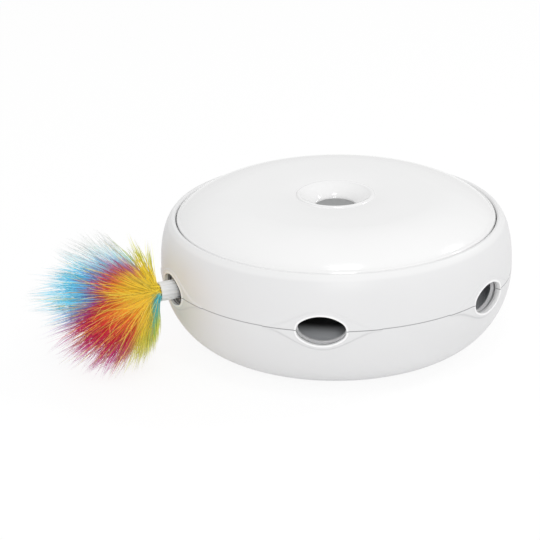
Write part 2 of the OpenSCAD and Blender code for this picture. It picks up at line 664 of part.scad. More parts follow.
module lid_screws() color("gray") between_holes() translate([lid_screw_r, 0, ledge_z - wall - head_h])
    screw(wall + 8);

module deck_screws() color("gray") post_holes() translate([0, 0, post_seat - 2.5 - head_h])
    screw(10.5);

door_l = box_l + 2.4;
door_w = box_w + 2.4;
pivot_y = -door_w / 2;
pivot_barrel = 1.1;
pivot_z = foot_lift + 1.2;
pivot_r = 0.7;
pivot_x = door_l / 2 + 2.6;
pivot_end = door_l / 2 + 2.4;

module battery_door() color("white") {
    difference() {
        union() {
            translate([-door_l / 2, pivot_y, foot_lift]) cube([door_l, door_w, door_t]);
            translate([-5.6, door_w / 2 - eps, foot_lift]) cube([11.2, 3.2, door_t]);
            translate([0, pivot_y, pivot_z]) rotate([0, 90, 0])
                cylinder(r = pivot_barrel, h = door_l, center = true);
            translate([0, pivot_y, pivot_z]) rotate([0, 90, 0])
                cylinder(r = pivot_r, h = 2 * pivot_end, center = true);
        }
        for (k = [0 : 3]) translate([-8, door_w / 2 - 6 - 3 * k, foot_lift - 1]) cube([16, 1.2, 1.5]);
    }
}

module battery_cells() color("orange") for (i = [0 : cell_count - 1])
    translate([0, (i - (cell_count - 1) / 2) * cell_pitch, cell_z]) rotate([0, 90, i % 2 == 0 ? 0 : 180])
        translate([0, 0, box_l / 2 - 0.45 - cell_l]) {
            cylinder(r = cell_d / 2, h = cell_l - 1.2);
            translate([0, 0, cell_l - 1.2 - eps]) cylinder(r = 2.7, h = 1.2 + eps);
        }

module contact_plates() color("silver") for (s = [-1, 1]) for (i = [0 : cell_count - 1])
    translate([s * (box_l / 2 - 0.2) - 0.2, (i - (cell_count - 1) / 2) * cell_pitch - 6, cell_z - 6])
        cube([0.4, 12, 12]);

module contact_springs() color("silver") for (i = [0 : cell_count - 1])
    translate([0, (i - (cell_count - 1) / 2) * cell_pitch, cell_z]) rotate([0, 90, i % 2 == 0 ? 0 : 180])
        translate([0, 0, -box_l / 2 + 0.45]) coil(4.6, 2.6, box_l - cell_l - 0.95, 4, 0.35);

module rubber_feet() color("dimgray") at_holes() translate([foot_place, 0, 0])
    cylinder(r = foot_r, h = foot_lift + foot_pocket);

module feather_stem() color("white") {
    points = [for (k = [0 : flute_count * 6 - 1]) let(a = 360 * k / (flute_count * 6))
        (stem_r - flute_depth / 2 + flute_depth / 2 * cos(a * flute_count)) * [cos(a), sin(a)]];
    translate([-stem_in, 0, seam_h]) rotate([0, -90, 0]) difference() {
        linear_extrude(stem_out - stem_in) polygon(points);
        translate([0, 0, -1]) cylinder(r = stem_bore, h = stem_out - stem_in + 2);
    }
}

module feather_crimp() color("black") translate([-stem_out + crimp_l, 0, seam_h]) rotate([0, -90, 0])
    cylinder(r = stem_bore - 0.05, h = crimp_l);

// Barbs: a square grid is bent round a small core, and each of its cells grows into one barb
function on_disc(u, v) = [u * sqrt(1 - v * v / 2), v * sqrt(1 - u * u / 2)];
function aim(u, v) = let(q = on_disc(u, v), r = norm(q), a = r * plume_cone, s = r < 0.0001 ? 0 : sin(a) / r)
    [-cos(a), q[0] * s, q[1] * s];
// Length of a barb by its direction: it ends on an egg that is longest straight out
function reach(d, j) = (0.78 + 0.22 * j) / norm([d[0] / (d[0] < 0 ? plume_l : plume_side),
    d[1] / plume_side, d[2] / (d[2] > 0 ? plume_up : plume_down)]) - core_r;
function droop(p) = [p[0], p[1], p[2] - plume_droop * p[0] * p[0]];

module feather_plume() {
    n = plume_rows;
    jitter = rands(0, 1, n * n, 7);
    step = 2 / n;
    mid = n * n;
    grid = [for (i = [0 : n]) for (k = [0 : n]) core_r * aim(-1 + i * step, -1 + k * step)];
    function corner(i, k, c) = aim(-1 + (i + (c == 1 || c == 2 ? 1 : 0)) * step,
        -1 + (k + (c > 1 ? 1 : 0)) * step);
    function ring(i, k, t) = let(d = aim(-1 + (i + 0.5) * step, -1 + (k + 0.5) * step),
        l = reach(d, jitter[i * n + k]), w = core_r * (1 - t) * 0.8)
        [for (c = [0 : 3]) droop(d * (core_r + l * t) + w * (corner(i, k, c) - d))];
    rings = [for (i = [0 : n - 1]) for (k = [0 : n - 1]) for (t = [0.25, 0.6]) for (q = ring(i, k, t)) q];
    tips = [for (i = [0 : n - 1]) for (k = [0 : n - 1])
        let(d = aim(-1 + (i + 0.5) * step, -1 + (k + 0.5) * step))
        droop(d * (core_r + reach(d, jitter[i * n + k])))];
    back = [core_r * 0.9, 0, 0];
    g = (n + 1) * (n + 1);
    function grid_at(i, k) = i * (n + 1) + k;
    function base(i, k) = [grid_at(i, k), grid_at(i + 1, k), grid_at(i + 1, k + 1), grid_at(i, k + 1)];
    function band(a, b) = [for (c = [0 : 3]) for (f = [[a[c], a[(c + 1) % 4], b[(c + 1) % 4]],
        [a[c], b[(c + 1) % 4], b[c]]]) f];
    strands = [for (i = [0 : n - 1]) for (k = [0 : n - 1])
        let(q = g + (i * n + k) * 8, a = base(i, k), b = [for (c = [0 : 3]) q + c],
            e = [for (c = [0 : 3]) q + 4 + c], tip = g + mid * 8 + i * n + k)
        for (f = concat(band(a, b), band(b, e), [for (c = [0 : 3]) [e[c], e[(c + 1) % 4], tip]])) f];
    hub = g + mid * 9;
    edge = concat([for (i = [0 : n - 1]) grid_at(i, 0)], [for (k = [0 : n - 1]) grid_at(n, k)],
        [for (i = [n : -1 : 1]) grid_at(i, n)], [for (k = [n : -1 : 1]) grid_at(0, k)]);
    cap = [for (i = [0 : len(edge) - 1]) [edge[(i + 1) % len(edge)], edge[i], hub]];
    color("orangered") translate([-core_x, 0, seam_h])
        polyhedron(concat(grid, rings, tips, [back]), concat(strands, cap));
}

lower_shell();
upper_shell();
top_lid();
guide_ring();
deck();
drum();
drum_gear();
thrust_washer();
retaining_ring();
gear_motor();
motor_clamp();
clamp_screws();
motor_shaft();
motor_pinion();
idler_pin();
idler_gear();
circuit_board();
board_parts();
board_screws();
switch_body();
switch_plunger();
power_button();
button_spring();
lid_screws();
deck_screws();
battery_door();
battery_cells();
contact_plates();
contact_springs();
rubber_feet();
feather_stem();
feather_crimp();
feather_plume();
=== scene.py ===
import json
import math

import bpy
import numpy as np
from mathutils import Matrix, Vector

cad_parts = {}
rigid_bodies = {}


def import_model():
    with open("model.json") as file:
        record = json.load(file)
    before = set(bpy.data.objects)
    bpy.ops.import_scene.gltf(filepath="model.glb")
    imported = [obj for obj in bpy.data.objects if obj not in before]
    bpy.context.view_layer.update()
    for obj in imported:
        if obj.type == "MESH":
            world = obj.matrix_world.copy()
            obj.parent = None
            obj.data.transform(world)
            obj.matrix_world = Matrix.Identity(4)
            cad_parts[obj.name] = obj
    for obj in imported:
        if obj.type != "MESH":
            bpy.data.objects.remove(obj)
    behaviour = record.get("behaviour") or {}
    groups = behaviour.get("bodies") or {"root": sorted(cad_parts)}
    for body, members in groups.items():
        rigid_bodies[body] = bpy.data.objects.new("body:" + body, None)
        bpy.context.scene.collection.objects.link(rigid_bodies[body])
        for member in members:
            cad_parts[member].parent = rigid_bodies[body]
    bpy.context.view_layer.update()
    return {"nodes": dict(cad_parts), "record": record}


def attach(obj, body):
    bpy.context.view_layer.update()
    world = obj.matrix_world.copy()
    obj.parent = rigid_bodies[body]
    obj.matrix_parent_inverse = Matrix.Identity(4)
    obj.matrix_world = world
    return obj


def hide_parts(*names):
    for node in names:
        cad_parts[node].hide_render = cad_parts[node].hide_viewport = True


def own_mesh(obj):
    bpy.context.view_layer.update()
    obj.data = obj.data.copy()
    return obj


bpy.ops.object.select_all(action="SELECT")
bpy.ops.object.delete()

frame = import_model()
nodes = frame["nodes"]
mm = 0.001
print("frame loaded:", len(nodes), "nodes")

# Camera, fitted to the outline, the seam and the holes of the photograph
cameraView = {
    "azimuth": -23.1,  # degrees, 0 looks along +Y
    "elevation": 22.54,
    "roll": 1.24,
    "lens": 113.3,
    "sensor": 36,
    "nearest": 0.01,
    "distance": 994.9 * mm,
    "right": 37.93 * mm,  # how far the body's foot lies right of the view's axis
    "below": 38.4 * mm,
    "drop": 5.6 * mm,
}


def makeCamera(view):
    heading = math.radians(90 + view["azimuth"])
    tilt = math.radians(view["elevation"])
    roll = math.radians(view["roll"])
    flat = math.cos(tilt)
    forward = Vector((math.cos(heading) * flat, math.sin(heading) * flat, -math.sin(tilt)))
    right = Vector((math.sin(heading), -math.cos(heading), 0))
    up = right.cross(forward)
    place = -view["right"] * right + view["below"] * up - view["distance"] * forward
    place.z -= view["drop"]
    turnedRight = math.cos(roll) * right - math.sin(roll) * up
    turnedUp = math.sin(roll) * right + math.cos(roll) * up
    bpy.ops.object.camera_add()
    camera = bpy.context.object
    camera.name = "camera"
    camera.data.lens = view["lens"]
    camera.data.sensor_width = view["sensor"]
    camera.data.clip_start = view["nearest"]
    camera.matrix_world = Matrix(
        ((turnedRight.x, turnedUp.x, -forward.x, place.x),
         (turnedRight.y, turnedUp.y, -forward.y, place.y),
         (turnedRight.z, turnedUp.z, -forward.z, place.z),
         (0, 0, 0, 1)))
    bpy.context.scene.camera = camera


makeCamera(cameraView)
print("camera placed")


# Shader maths: a socket with Python's operators, and one method that makes any other node
class Value:
    def __init__(self, shader, socket):
        self.shader = shader
        self.socket = socket

    def maths(self, operation, *others):
        return self.shader.node("Math", {"operation": operation}, self, *others)

    def __add__(self, other):
        return self.maths("ADD", other)

    def __sub__(self, other):
        return self.maths("SUBTRACT", other)

    def __mul__(self, other):
        return self.maths("MULTIPLY", other)

    def __rsub__(self, other):
        return self.shader.node("Math", {"operation": "SUBTRACT"}, other, self)

    __radd__ = __add__
    __rmul__ = __mul__


class Shader:
    def __init__(self, name):
        self.material = bpy.data.materials.new(name)
        self.material.use_nodes = True
        self.tree = self.material.node_tree
        self.tree.nodes.clear()
        self.out = self.tree.nodes.new("ShaderNodeOutputMaterial")

    def node(self, kind, settings=None, *values, output=0, **named):
        made = self.tree.nodes.new("ShaderNode" + kind)
        for key, value in (settings or {}).items():
            if key == "stops":
                stops = made.color_ramp.elements
                while len(stops) < len(value):
                    stops.new(0.5)
                for stop, (place, colour) in zip(stops, value):
                    stop.position = place
                    stop.color = (*colour, 1)
            else:
                setattr(made, key, value)
        for index, value in [*enumerate(values), *named.items()]:
            socket = made.inputs[index if isinstance(index, int) else index.replace("_", " ")]
            if isinstance(value, Value):
                self.tree.links.new(value.socket, socket)
            else:
                isColour = socket.type == "RGBA" and len(value) == 3
                socket.default_value = (*value, 1) if isColour else value
        return Value(self, made.outputs[output])

    def surface(self, **named):
        self.finish(self.node("BsdfPrincipled", None, **named))

    def finish(self, value):
        self.tree.links.new(value.socket, self.out.inputs["Surface"])

    def place(self):
        return self.node("TexCoord", None, output="Object")

    def along(self, place, axis):
        return self.node("SeparateXYZ", None, place, output=axis)


def mixed(shader, share, base, other):
    made = shader.node("Mix", {"data_type": "RGBA"}, Factor=share, output=2)
    mix = shader.tree.nodes[-1]
    for socket, colour in ((mix.inputs[6], base), (mix.inputs[7], other)):
        if isinstance(colour, Value):
            shader.tree.links.new(colour.socket, socket)
        else:
            socket.default_value = (*colour, 1)
    return made


def ramp(shader, value, low, high):
    return shader.node("MapRange", {"interpolation_type": "SMOOTHSTEP"},
                       Value=value, From_Min=low, From_Max=high)


# The shells' colour at the seam, on the raised rims of the holes, at the swelling's foot, on the
# dull walls behind the holes and along the upper edge, in metres. All of it is painted light and
# shade: painted shade in the seam's groove and at the swelling's foot, painted highlights on the
# rims and along the upper edge, and dull walls that stand in for shadow
shellEdges = {
    "seam": 0.042,
    "half": 0.00026,  # half of the groove's width
    "blur": (0.7, 1.3),  # where the groove fades out, as shares of that
    # painted shade in the seam's groove
    "grooveShade": (0.42, 0.42, 0.43),
    # painted highlight on the raised rim round each hole
    "rim": (0.93, 0.93, 0.93),
    # painted shade at the swelling's foot under each hole
    "crease": (0.60, 0.60, 0.61),
    "wall": (0.26, 0.26, 0.27),
    "walls": (0.0978, 0.0987),  # the dull walls' radius, from and to
    "sharp": 0.0001,
    "reach": 0.0095,  # how far they go above and below the seam
    "soft": 0.001,
    "fade": (0.020, 0.035),  # where they end along X
    # painted highlight along the shell's upper edge
    "brim": (0.0672, 0.0692),
    "brimHighlight": (0.81, 0.81, 0.812),
}


def holeEdges(shader, place, tint, edges):
    level = shader.along(place, "Z")
    away = (level - edges["seam"]).maths("ABSOLUTE")
    flat = shader.node("VectorMath", {"operation": "MULTIPLY"}, place, (1, 1, 0))
    radius = shader.node("VectorMath", {"operation": "LENGTH"}, flat, output="Value")
    # painted highlight on the hole rims, and painted shade at the swelling's foot
    for mark in ("rim", "crease"):
        share = shader.node("Attribute", {"attribute_name": mark, "attribute_type": "GEOMETRY"},
                            output="Fac")
        tint = mixed(shader, share, tint, edges[mark])
    inner, outer = edges["walls"]
    sharp, reach, half = edges["sharp"], edges["reach"], edges["half"]
    behind = ((1 - ramp(shader, shader.along(place, "X"), *edges["fade"]))
              * ramp(shader, radius, inner, inner + sharp)
              * (1 - ramp(shader, radius, outer - sharp, outer + sharp))
              * (1 - ramp(shader, away, reach, reach + edges["soft"])))
    tint = mixed(shader, behind, tint, edges["wall"])
    # painted highlight along the upper edge
    tint = mixed(shader, ramp(shader, level, *edges["brim"]), tint, edges["brimHighlight"])
    # painted shade: the seam's groove drawn darker
    blur = [half * share for share in edges["blur"]]
    return mixed(shader, 1 - ramp(shader, away, *blur), tint, edges["grooveShade"])


# A dark belt along one axis, which stands in for shadow, and where it fades along X
drumBelt = {
    "axis": "Z",
    "foot": (0.0295, 0.0345),
    "top": (0.040, 0.047),
    "shade": (0.005, 0.005, 0.006),
    "fade": (0.004, 0.024),
    "lost": 0.85,
}
sleeveBelt = {
    "axis": "X",
    "foot": (-0.1000, -0.0962),
    "top": (-0.062, -0.058),
    "shade": (0.02, 0.02, 0.021),
}


def beltShade(shader, place, tint, belt):
    level = shader.along(place, belt["axis"])
    dark = ramp(shader, level, *belt["foot"]) * (1 - ramp(shader, level, *belt["top"]))
    if "fade" in belt:
        dark = dark * (1 - ramp(shader, shader.along(place, "X"), *belt["fade"]) * belt["lost"])
    return mixed(shader, dark, tint, belt["shade"])


# Moulded plastic: a fine grain in its gloss, a faint unevenness in its colour and a fine bump
moulding = {
    "cloud": 35.0,
    "fine": 2600.0,
    "deep": 0.0002,
}


def plastic(name, colour, roughness, grain=0.35, bump=0.02, coat=0.0, coatRoughness=0.05,
            uneven=0.015, edges=None, belt=None):
    shader = Shader(name)
    place = shader.place()
    cloud = shader.node("TexNoise", None, Vector=place, Scale=moulding["cloud"], Detail=3.0)
    fine = shader.node("TexNoise", None, Vector=place, Scale=moulding["fine"], Detail=2.0)
    dark = tuple(c * (1 - 2 * uneven) for c in colour)
    tint = mixed(shader, cloud, dark, colour)
    if edges:
        tint = holeEdges(shader, place, tint, edges)
    if belt:
        tint = beltShade(shader, place, tint, belt)
    rough = roughness * (1 - grain / 2) + fine * (roughness * grain)
    relief = shader.node("Bump", None, Strength=bump, Distance=moulding["deep"], Height=fine)
    shader.surface(Base_Color=tint, Roughness=rough, Normal=relief, Coat_Weight=coat,
                   Coat_Roughness=coatRoughness)
    return shader.material


# Metal, brushed along one direction
brushing = {
    "streak": (1, 1, 30),
    "fine": 400.0,
    "strength": 0.06,
    "deep": 0.0001,
}


def metal(name, colour, roughness):
    shader = Shader(name)
    stretched = shader.node("Mapping", None, Vector=shader.place(), Scale=brushing["streak"])
    brushed = shader.node("TexNoise", None, Vector=stretched, Scale=brushing["fine"], Detail=4.0)
    rough = roughness * 0.8 + brushed * (roughness * 0.5)
    relief = shader.node("Bump", None, Strength=brushing["strength"], Distance=brushing["deep"],
                         Height=brushed)
    shader.surface(Base_Color=colour, Metallic=1.0, Roughness=rough, Normal=relief)
    return shader.material


# Solder mask over copper tracks, on a grid of the board's own directions
solderMask = {
    "tracks": 260.0,
    "gap": 0.09,
    "cloud": 60.0,
    "stops": [(0.3, (0.010, 0.075, 0.030)), (0.8, (0.022, 0.150, 0.060))],
    "roughness": 0.35,
    "bump": 0.3,
    "deep": 0.0001,
}


def boardFinish(look):
    shader = Shader("solderMask")
    place = shader.place()
    tracks = shader.node("TexBrick", {"offset": 0.5}, Vector=place, Scale=look["tracks"],
                         Mortar_Size=look["gap"], output="Fac")
    cloud = shader.node("TexNoise", None, Vector=place, Scale=look["cloud"])
    tint = shader.node("ValToRGB", {"stops": look["stops"]}, Fac=cloud * 0.4 + tracks * 0.5)
    relief = shader.node("Bump", None, Strength=look["bump"], Distance=look["deep"], Height=tracks)
    shader.surface(Base_Color=tint, Roughness=look["roughness"], Normal=relief)
    return shader.material


# Rubber: dull, with a fine stipple
footRubber = {
    "stipple": 1800.0,
    "dust": 90.0,
    "stops": [(0.35, (0.030, 0.030, 0.032)), (0.7, (0.060, 0.060, 0.062))],
    "roughness": 0.8,
    "bump": 0.25,
    "deep": 0.0001,
}


def rubberFinish(look):
    shader = Shader("footRubber")
    place = shader.place()
    stipple = shader.node("TexVoronoi", None, Vector=place, Scale=look["stipple"])
    dust = shader.node("TexNoise", None, Vector=place, Scale=look["dust"], Detail=4.0)
    tint = shader.node("ValToRGB", {"stops": look["stops"]}, Fac=dust)
    relief = shader.node("Bump", None, Strength=look["bump"], Distance=look["deep"], Height=stipple)
    shader.surface(Base_Color=tint, Roughness=look["roughness"], Normal=relief)
    return shader.material


# Thin barbs let light through. The dye also glows a little: painted light, which stands in for that
# light
def featherFinish():
    shader = Shader("dyedFeather")
    dye = shader.node("Attribute", {"attribute_name": "dye", "attribute_type": "GEOMETRY"},
                      output="Color")
    streak = shader.node("TexNoise", None, Vector=shader.place(), Scale=900.0, Detail=2.0)
    rough = streak * 0.25 + 0.42
    shader.surface(Base_Color=dye, Roughness=rough, Sheen_Weight=0.15, Sheen_Roughness=0.4,
                   Emission_Color=dye, Emission_Strength=0.30)
    return shader.material


finishes = {
    "shell_white": plastic("shellPlastic", (0.77, 0.77, 0.775), 0.42, coat=0.04,
                           coatRoughness=0.3, edges=shellEdges),
    "lid_white": plastic("lidPlastic", (0.885, 0.885, 0.885), 0.16, grain=0.1, bump=0.0,
                         coat=1.0, coatRoughness=0.02),
    "guide_white": plastic("guidePlastic", (0.90, 0.90, 0.91), 0.35),
    "drum_grey": plastic("drumPlastic", (0.82, 0.84, 0.87), 0.42, bump=0.05, belt=drumBelt),
    "button_grey": plastic("buttonPlastic", (0.27, 0.275, 0.275), 0.38, bump=0.05),
    "deck_grey": plastic("deckPlastic", (0.12, 0.125, 0.13), 0.5, bump=0.06),
    "gear_white": plastic("gearAcetal", (0.72, 0.70, 0.64), 0.35, bump=0.03),
    "black_plastic": plastic("blackPlastic", (0.018, 0.018, 0.02), 0.4, bump=0.05),
    "cell_wrap": plastic("cellWrap", (0.09, 0.095, 0.105), 0.25, coat=0.5),
    "sleeve_white": plastic("sleevePlastic", (0.80, 0.81, 0.82), 0.38, bump=0.03,
                            belt=sleeveBelt),
    "crimp_dark": plastic("crimpPlastic", (0.012, 0.012, 0.014), 0.5),
    "steel": metal("zincPlate", (0.62, 0.62, 0.64), 0.32),
    "motor_steel": metal("motorCan", (0.66, 0.66, 0.67), 0.28),
    "board_green": boardFinish(solderMask),
    "foot_rubber": rubberFinish(footRubber),
    "feather_dyed": featherFinish(),
}

slotOf = {part["node"]: part["material_slot"] for part in frame["record"]["subparts"]}
for name, node in nodes.items():
    node.material_slots[0].material = finishes[slotOf[name]]
print("finishes made")

# Studio: a pale sweep that reads as white, and soft lights, in metres and watts
studio = {
    "floor": 2.4,  # half of its width
    "white": (0.92, 0.92, 0.92),
    "glow": 1.02,
    "world": 0.785,
    "shadow": 0.15,  # how much of the floor's shading shows
    "under": 0.3,  # the floor's own light, which shows the underside
}
lamps = {
    "overhead": {"place": (-0.1, -0.42, 1.25), "aim": (0, 0, 0.05), "size": (0.26, 0.20),
                 "power": 1.7},
    "frontKey": {"place": (-0.42, -1.15, 0.70), "aim": (0, 0, 0.04), "size": (0.34, 0.30),
                 "power": 3.1},
    "rightKey": {"place": (1.13, -0.165, 0.97), "aim": (0, 0, 0.05), "size": (0.11, 0.12),
                 "power": 2.4},
}


def makeFloor(settings):
    bpy.ops.mesh.primitive_plane_add(size=2 * settings["floor"])
    floor = bpy.context.object
    floor.name = "floor"
    shader = Shader("floorPaper")
    lit = shader.node("BsdfDiffuse", None, Color=settings["white"])
    glow = shader.node("Emission", None, Color=(1, 1, 1), Strength=settings["glow"])
    seen = shader.node("LightPath", None, output="Is Camera Ray")
    share = seen * (1 - settings["shadow"]) + (1 - seen) * settings["under"]
    top = shader.node("MixShader", None, share, lit, glow)
    below = shader.node("NewGeometry", None, output="Backfacing")
    shader.finish(shader.node("MixShader", None, below, top, shader.node("BsdfTransparent")))
    floor.data.materials.append(shader.material)


def makeWorld(settings):
    world = bpy.data.worlds.new("studio")
    bpy.context.scene.world = world
    world.use_nodes = True
    tree = world.node_tree
    tree.nodes.clear()
    out = tree.nodes.new("ShaderNodeOutputWorld")
    path = tree.nodes.new("ShaderNodeLightPath")
    mix = tree.nodes.new("ShaderNodeMixShader")
    tree.links.new(path.outputs["Is Camera Ray"], mix.inputs[0])
    for socket, strength in ((mix.inputs[1], settings["world"]), (mix.inputs[2], 1.0)):
        sky = tree.nodes.new("ShaderNodeBackground")
        sky.inputs["Color"].default_value = (1, 1, 1, 1)
        sky.inputs["Strength"].default_value = strength
        tree.links.new(sky.outputs[0], socket)
    tree.links.new(mix.outputs[0], out.inputs["Surface"])


def softLight(name, place, aim, size, power):
    bpy.ops.object.light_add(type="AREA", location=place)
    light = bpy.context.object
    light.name = name
    light.data.shape = "RECTANGLE"
    light.data.size, light.data.size_y = size
    light.data.energy = power
    light.rotation_euler = (Vector(aim) - Vector(place)).to_track_quat("-Z", "Y").to_euler()


makeFloor(studio)
makeWorld(studio)
for name, lamp in lamps.items():
    softLight(name, **lamp)
bpy.context.scene.view_settings.view_transform = "Standard"
print("studio lit")

# Outlines in millimetres, as the shells and the lid have them
body = {
    "radius": 100.0,
    "seam": 42.0,
    "rim": 71.0,
    "crest": 83.0,
    "base": 74.0,
    "lift": 1.5,
    "lid": 90.2,
    "mouth": 91.1,
    "edgeRound": 1.4,
    "rimLean": 42.0,  # degrees
    "crestRadius": 56.0,
    "well": 11.7,
    "button": 75.0,
    "travel": 1.0,  # the button's stroke
    "holes": 6,
}
hole = {
    "width": 26.6,
    "height": 16.8,
    "endRadius": 6.0,
    "eyeHalf": 31.0,  # the soft swelling round a hole
    "eyeHeight": 10.4,
    "eyeSoft": (0.1, 0.9),
    "lipOut": (0.8, 1.45),
}
skin = {
    "cover": 0.17,  # how far a skin lies outside the shell that it covers
    "thick": 0.14,
    "eye": 0.5,
    "lip": 0.36,
    "inset": 0.1,
    "holeRound": 0.45,
    "rimHighlight": (0.75, 1.15),
    # where the painted shade at the swelling's foot lies
    "crease": (0.6, 0.45),  # the swelling's foot: its middle outside the eye's line, and its width
    "creaseFrom": (0.6, 1.6),  # height over the seam where it sets in
    "creaseShare": (0.75, 0.2),  # below and above the seam
    "seamRound": 0.3,
    "seamGap": 0.03,
    "wallDepths": (2.2, 1.2, 0.6),  # the hole's wall, from its inner end
}
# Rows and columns of a skin's grid: first and last place, and their count
skinGrid = {
    "seam": 5,
    "rows": (0.6, 3.8, 9),  # heights beside the hole's end
    "fillet": 7,
    "outs": (0.62, 2.2, 7),  # distances from the hole's edge
    "grow": (0.33, 1.5),  # heights at which the rows begin to spread outwards
    "end": 4,
    "side": 19,
    "near": (15.5, 33, 34),  # distances from the hole's middle
    "far": (17, 9, 1.1),  # the rest of the way, its columns and how their pitch grows
    "over": (1.6, 2.0, 9),  # clear of the eye's line, clear of the hole, rows up to there
}


def cubic(t, a, b, c, d):
    return (1 - t) ** 3 * a + 3 * t * (1 - t) ** 2 * b + 3 * t * t * (1 - t) * c + t ** 3 * d


def curve(points, count=160):
    return cubic(np.linspace(0, 1, count)[:, None], *[np.array(p, float) for p in points])


def arcOf(centre, radius, start, end, count=40):
    turn = np.radians(np.linspace(start, end, count))
    return np.array(centre) + radius * np.stack([np.cos(turn), np.sin(turn)], 1)


def smoothStep(low, high, value):
    t = np.clip((value - low) / (high - low), 0, 1)
    return t * t * (3 - 2 * t)


# An outline with its running length and its outward normals
def traced(parts, side=1):
    points = np.concatenate(parts)
    keep = np.concatenate([[True], np.linalg.norm(np.diff(points, axis=0), axis=1) > 1e-6])
    points = points[keep]
    steps = np.linalg.norm(np.diff(points, axis=0), axis=1)
    run = np.concatenate([[0], np.cumsum(steps)])
    along = np.gradient(points, run, axis=0)
    normals = side * np.stack([along[:, 1], -along[:, 0]], 1)
    normals /= np.linalg.norm(normals, axis=1)[:, None]
    return {"points": points, "run": run, "normals": normals}


rise = body["rim"] - body["seam"]
rimArc = (body["mouth"] + body["edgeRound"], body["rim"] - body["edgeRound"])
lean = math.radians(body["rimLean"])
rimEnd = (rimArc[0] + body["edgeRound"] * math.cos(lean),
          rimArc[1] + body["edgeRound"] * math.sin(lean))
belly = [(body["base"], body["lift"]), (body["base"] + 14, body["lift"] + 3),
         (body["radius"], (body["lift"] + body["seam"]) / 2), (body["radius"], body["seam"])]
shoulder = [(body["radius"], body["seam"]), (body["radius"], body["seam"] + 0.42 * rise),
            (rimEnd[0] + 0.25 * rise * math.sin(lean), rimEnd[1] - 0.25 * rise * math.cos(lean)),
            rimEnd]


def selectOnly(piece):
    bpy.ops.object.select_all(action="DESELECT")
    piece.select_set(True)
    bpy.context.view_layer.objects.active = piece


def pointsOf(piece):
    flat = np.empty(len(piece.data.vertices) * 3)
    piece.data.vertices.foreach_get("co", flat)
    return flat.reshape(-1, 3)


def movePoints(piece, points):
    piece.data.vertices.foreach_set("co", points.ravel())
    piece.data.update()


# A grid whose points are moved to the given rows and columns, in millimetres
def gridPiece(name, points):
    rows, columns = points.shape[:2]
    bpy.ops.object.select_all(action="DESELECT")
    bpy.ops.mesh.primitive_grid_add(x_subdivisions=columns - 1, y_subdivisions=rows - 1, size=1)
    piece = bpy.context.object
    piece.name = name
    plain = pointsOf(piece)
    column = np.rint((plain[:, 0] + 0.5) * (columns - 1)).astype(int)
    row = np.rint((plain[:, 1] + 0.5) * (rows - 1)).astype(int)
    movePoints(piece, points[row, column] * mm)
    return piece


def joined(pieces, name):
    selectOnly(pieces[0])
    for piece in pieces:
        piece.select_set(True)
    bpy.ops.object.join()
    made = bpy.context.object
    made.name = name
    return made


def mended(piece, distance=2e-6, outward=True):
    selectOnly(piece)
    bpy.ops.object.mode_set(mode="EDIT")
    bpy.ops.mesh.select_all(action="SELECT")
    bpy.ops.mesh.remove_doubles(threshold=distance)
    if outward:
        bpy.ops.mesh.normals_make_consistent(inside=False)
    bpy.ops.object.mode_set(mode="OBJECT")
    piece.data.update()


# A merged copy of a CAD node's own shape
def copied(node, name):
    piece = bpy.data.objects.new(name, nodes[node].data.copy())
    bpy.context.scene.collection.objects.link(piece)
    mended(piece, 1e-6, outward=False)
    return piece


def applied(piece, kind, **settings):
    selectOnly(piece)
    modifier = piece.modifiers.new(kind, kind)
    for key, value in settings.items():
        setattr(modifier, key, value)
    bpy.ops.object.modifier_apply(modifier=modifier.name)


# Turns a skin's faces outwards, by the face that stands furthest from the axis
def facedOut(piece):
    furthest = max(piece.data.polygons, key=lambda face: face.center.xy.length_squared)
    if furthest.normal.xy.dot(furthest.center.xy) < 0:
        selectOnly(piece)
        bpy.ops.object.mode_set(mode="EDIT")
        bpy.ops.mesh.select_all(action="SELECT")
        bpy.ops.mesh.flip_normals()
        bpy.ops.object.mode_set(mode="OBJECT")


def finished(piece, slot, rider, angle):
    selectOnly(piece)
    bpy.ops.object.shade_smooth_by_angle(angle=math.radians(angle))
    piece.data.materials.clear()
    piece.data.materials.append(finishes[slot])
    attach(piece, rider)


# The hole's outline is two long arcs and two short ones, which meet at meetTurn
sideR = ((hole["width"] / 2) ** 2 + (hole["height"] / 2) ** 2
         - hole["width"] * hole["endRadius"]) / (hole["height"] - 2 * hole["endRadius"])
sideOff = sideR - hole["height"] / 2
endOff = hole["width"] / 2 - hole["endRadius"]
meetTurn = math.atan2(sideOff, endOff)


# Distance outside the eye-shaped swelling, by the place across and above the hole's middle
def eyeGap(across, above):
    reach, tall = hole["eyeHalf"], hole["eyeHeight"]
    inside = np.minimum(np.abs(across), reach)
    bell = tall / 2 * (1 + np.cos(np.pi * inside / reach))
    slope = -tall / 2 * np.pi / reach * np.sin(np.pi * inside / reach)
    beyond = np.maximum(np.abs(across) - reach, 0)
    return np.where(beyond > 0, np.hypot(beyond, above), (above - bell) / np.sqrt(1 + slope ** 2))


# Height of a skin over the plain outline
def skinRise(across, above, out):
    eye = 1 - smoothStep(*hole["eyeSoft"], eyeGap(across, above))
    lip = 1 - smoothStep(*hole["lipOut"], out)
    return skin["cover"] + skin["eye"] * eye + skin["lip"] * lip


# Distance outside the hole's outline
def ovalGap(across, above):
    end = np.hypot(across - endOff, above) - hole["endRadius"]
    side = np.hypot(across, above + sideOff) - sideR
    turn = np.arctan2(above + sideOff, np.maximum(across, 1e-6))
    return np.where(turn < meetTurn, end, side)


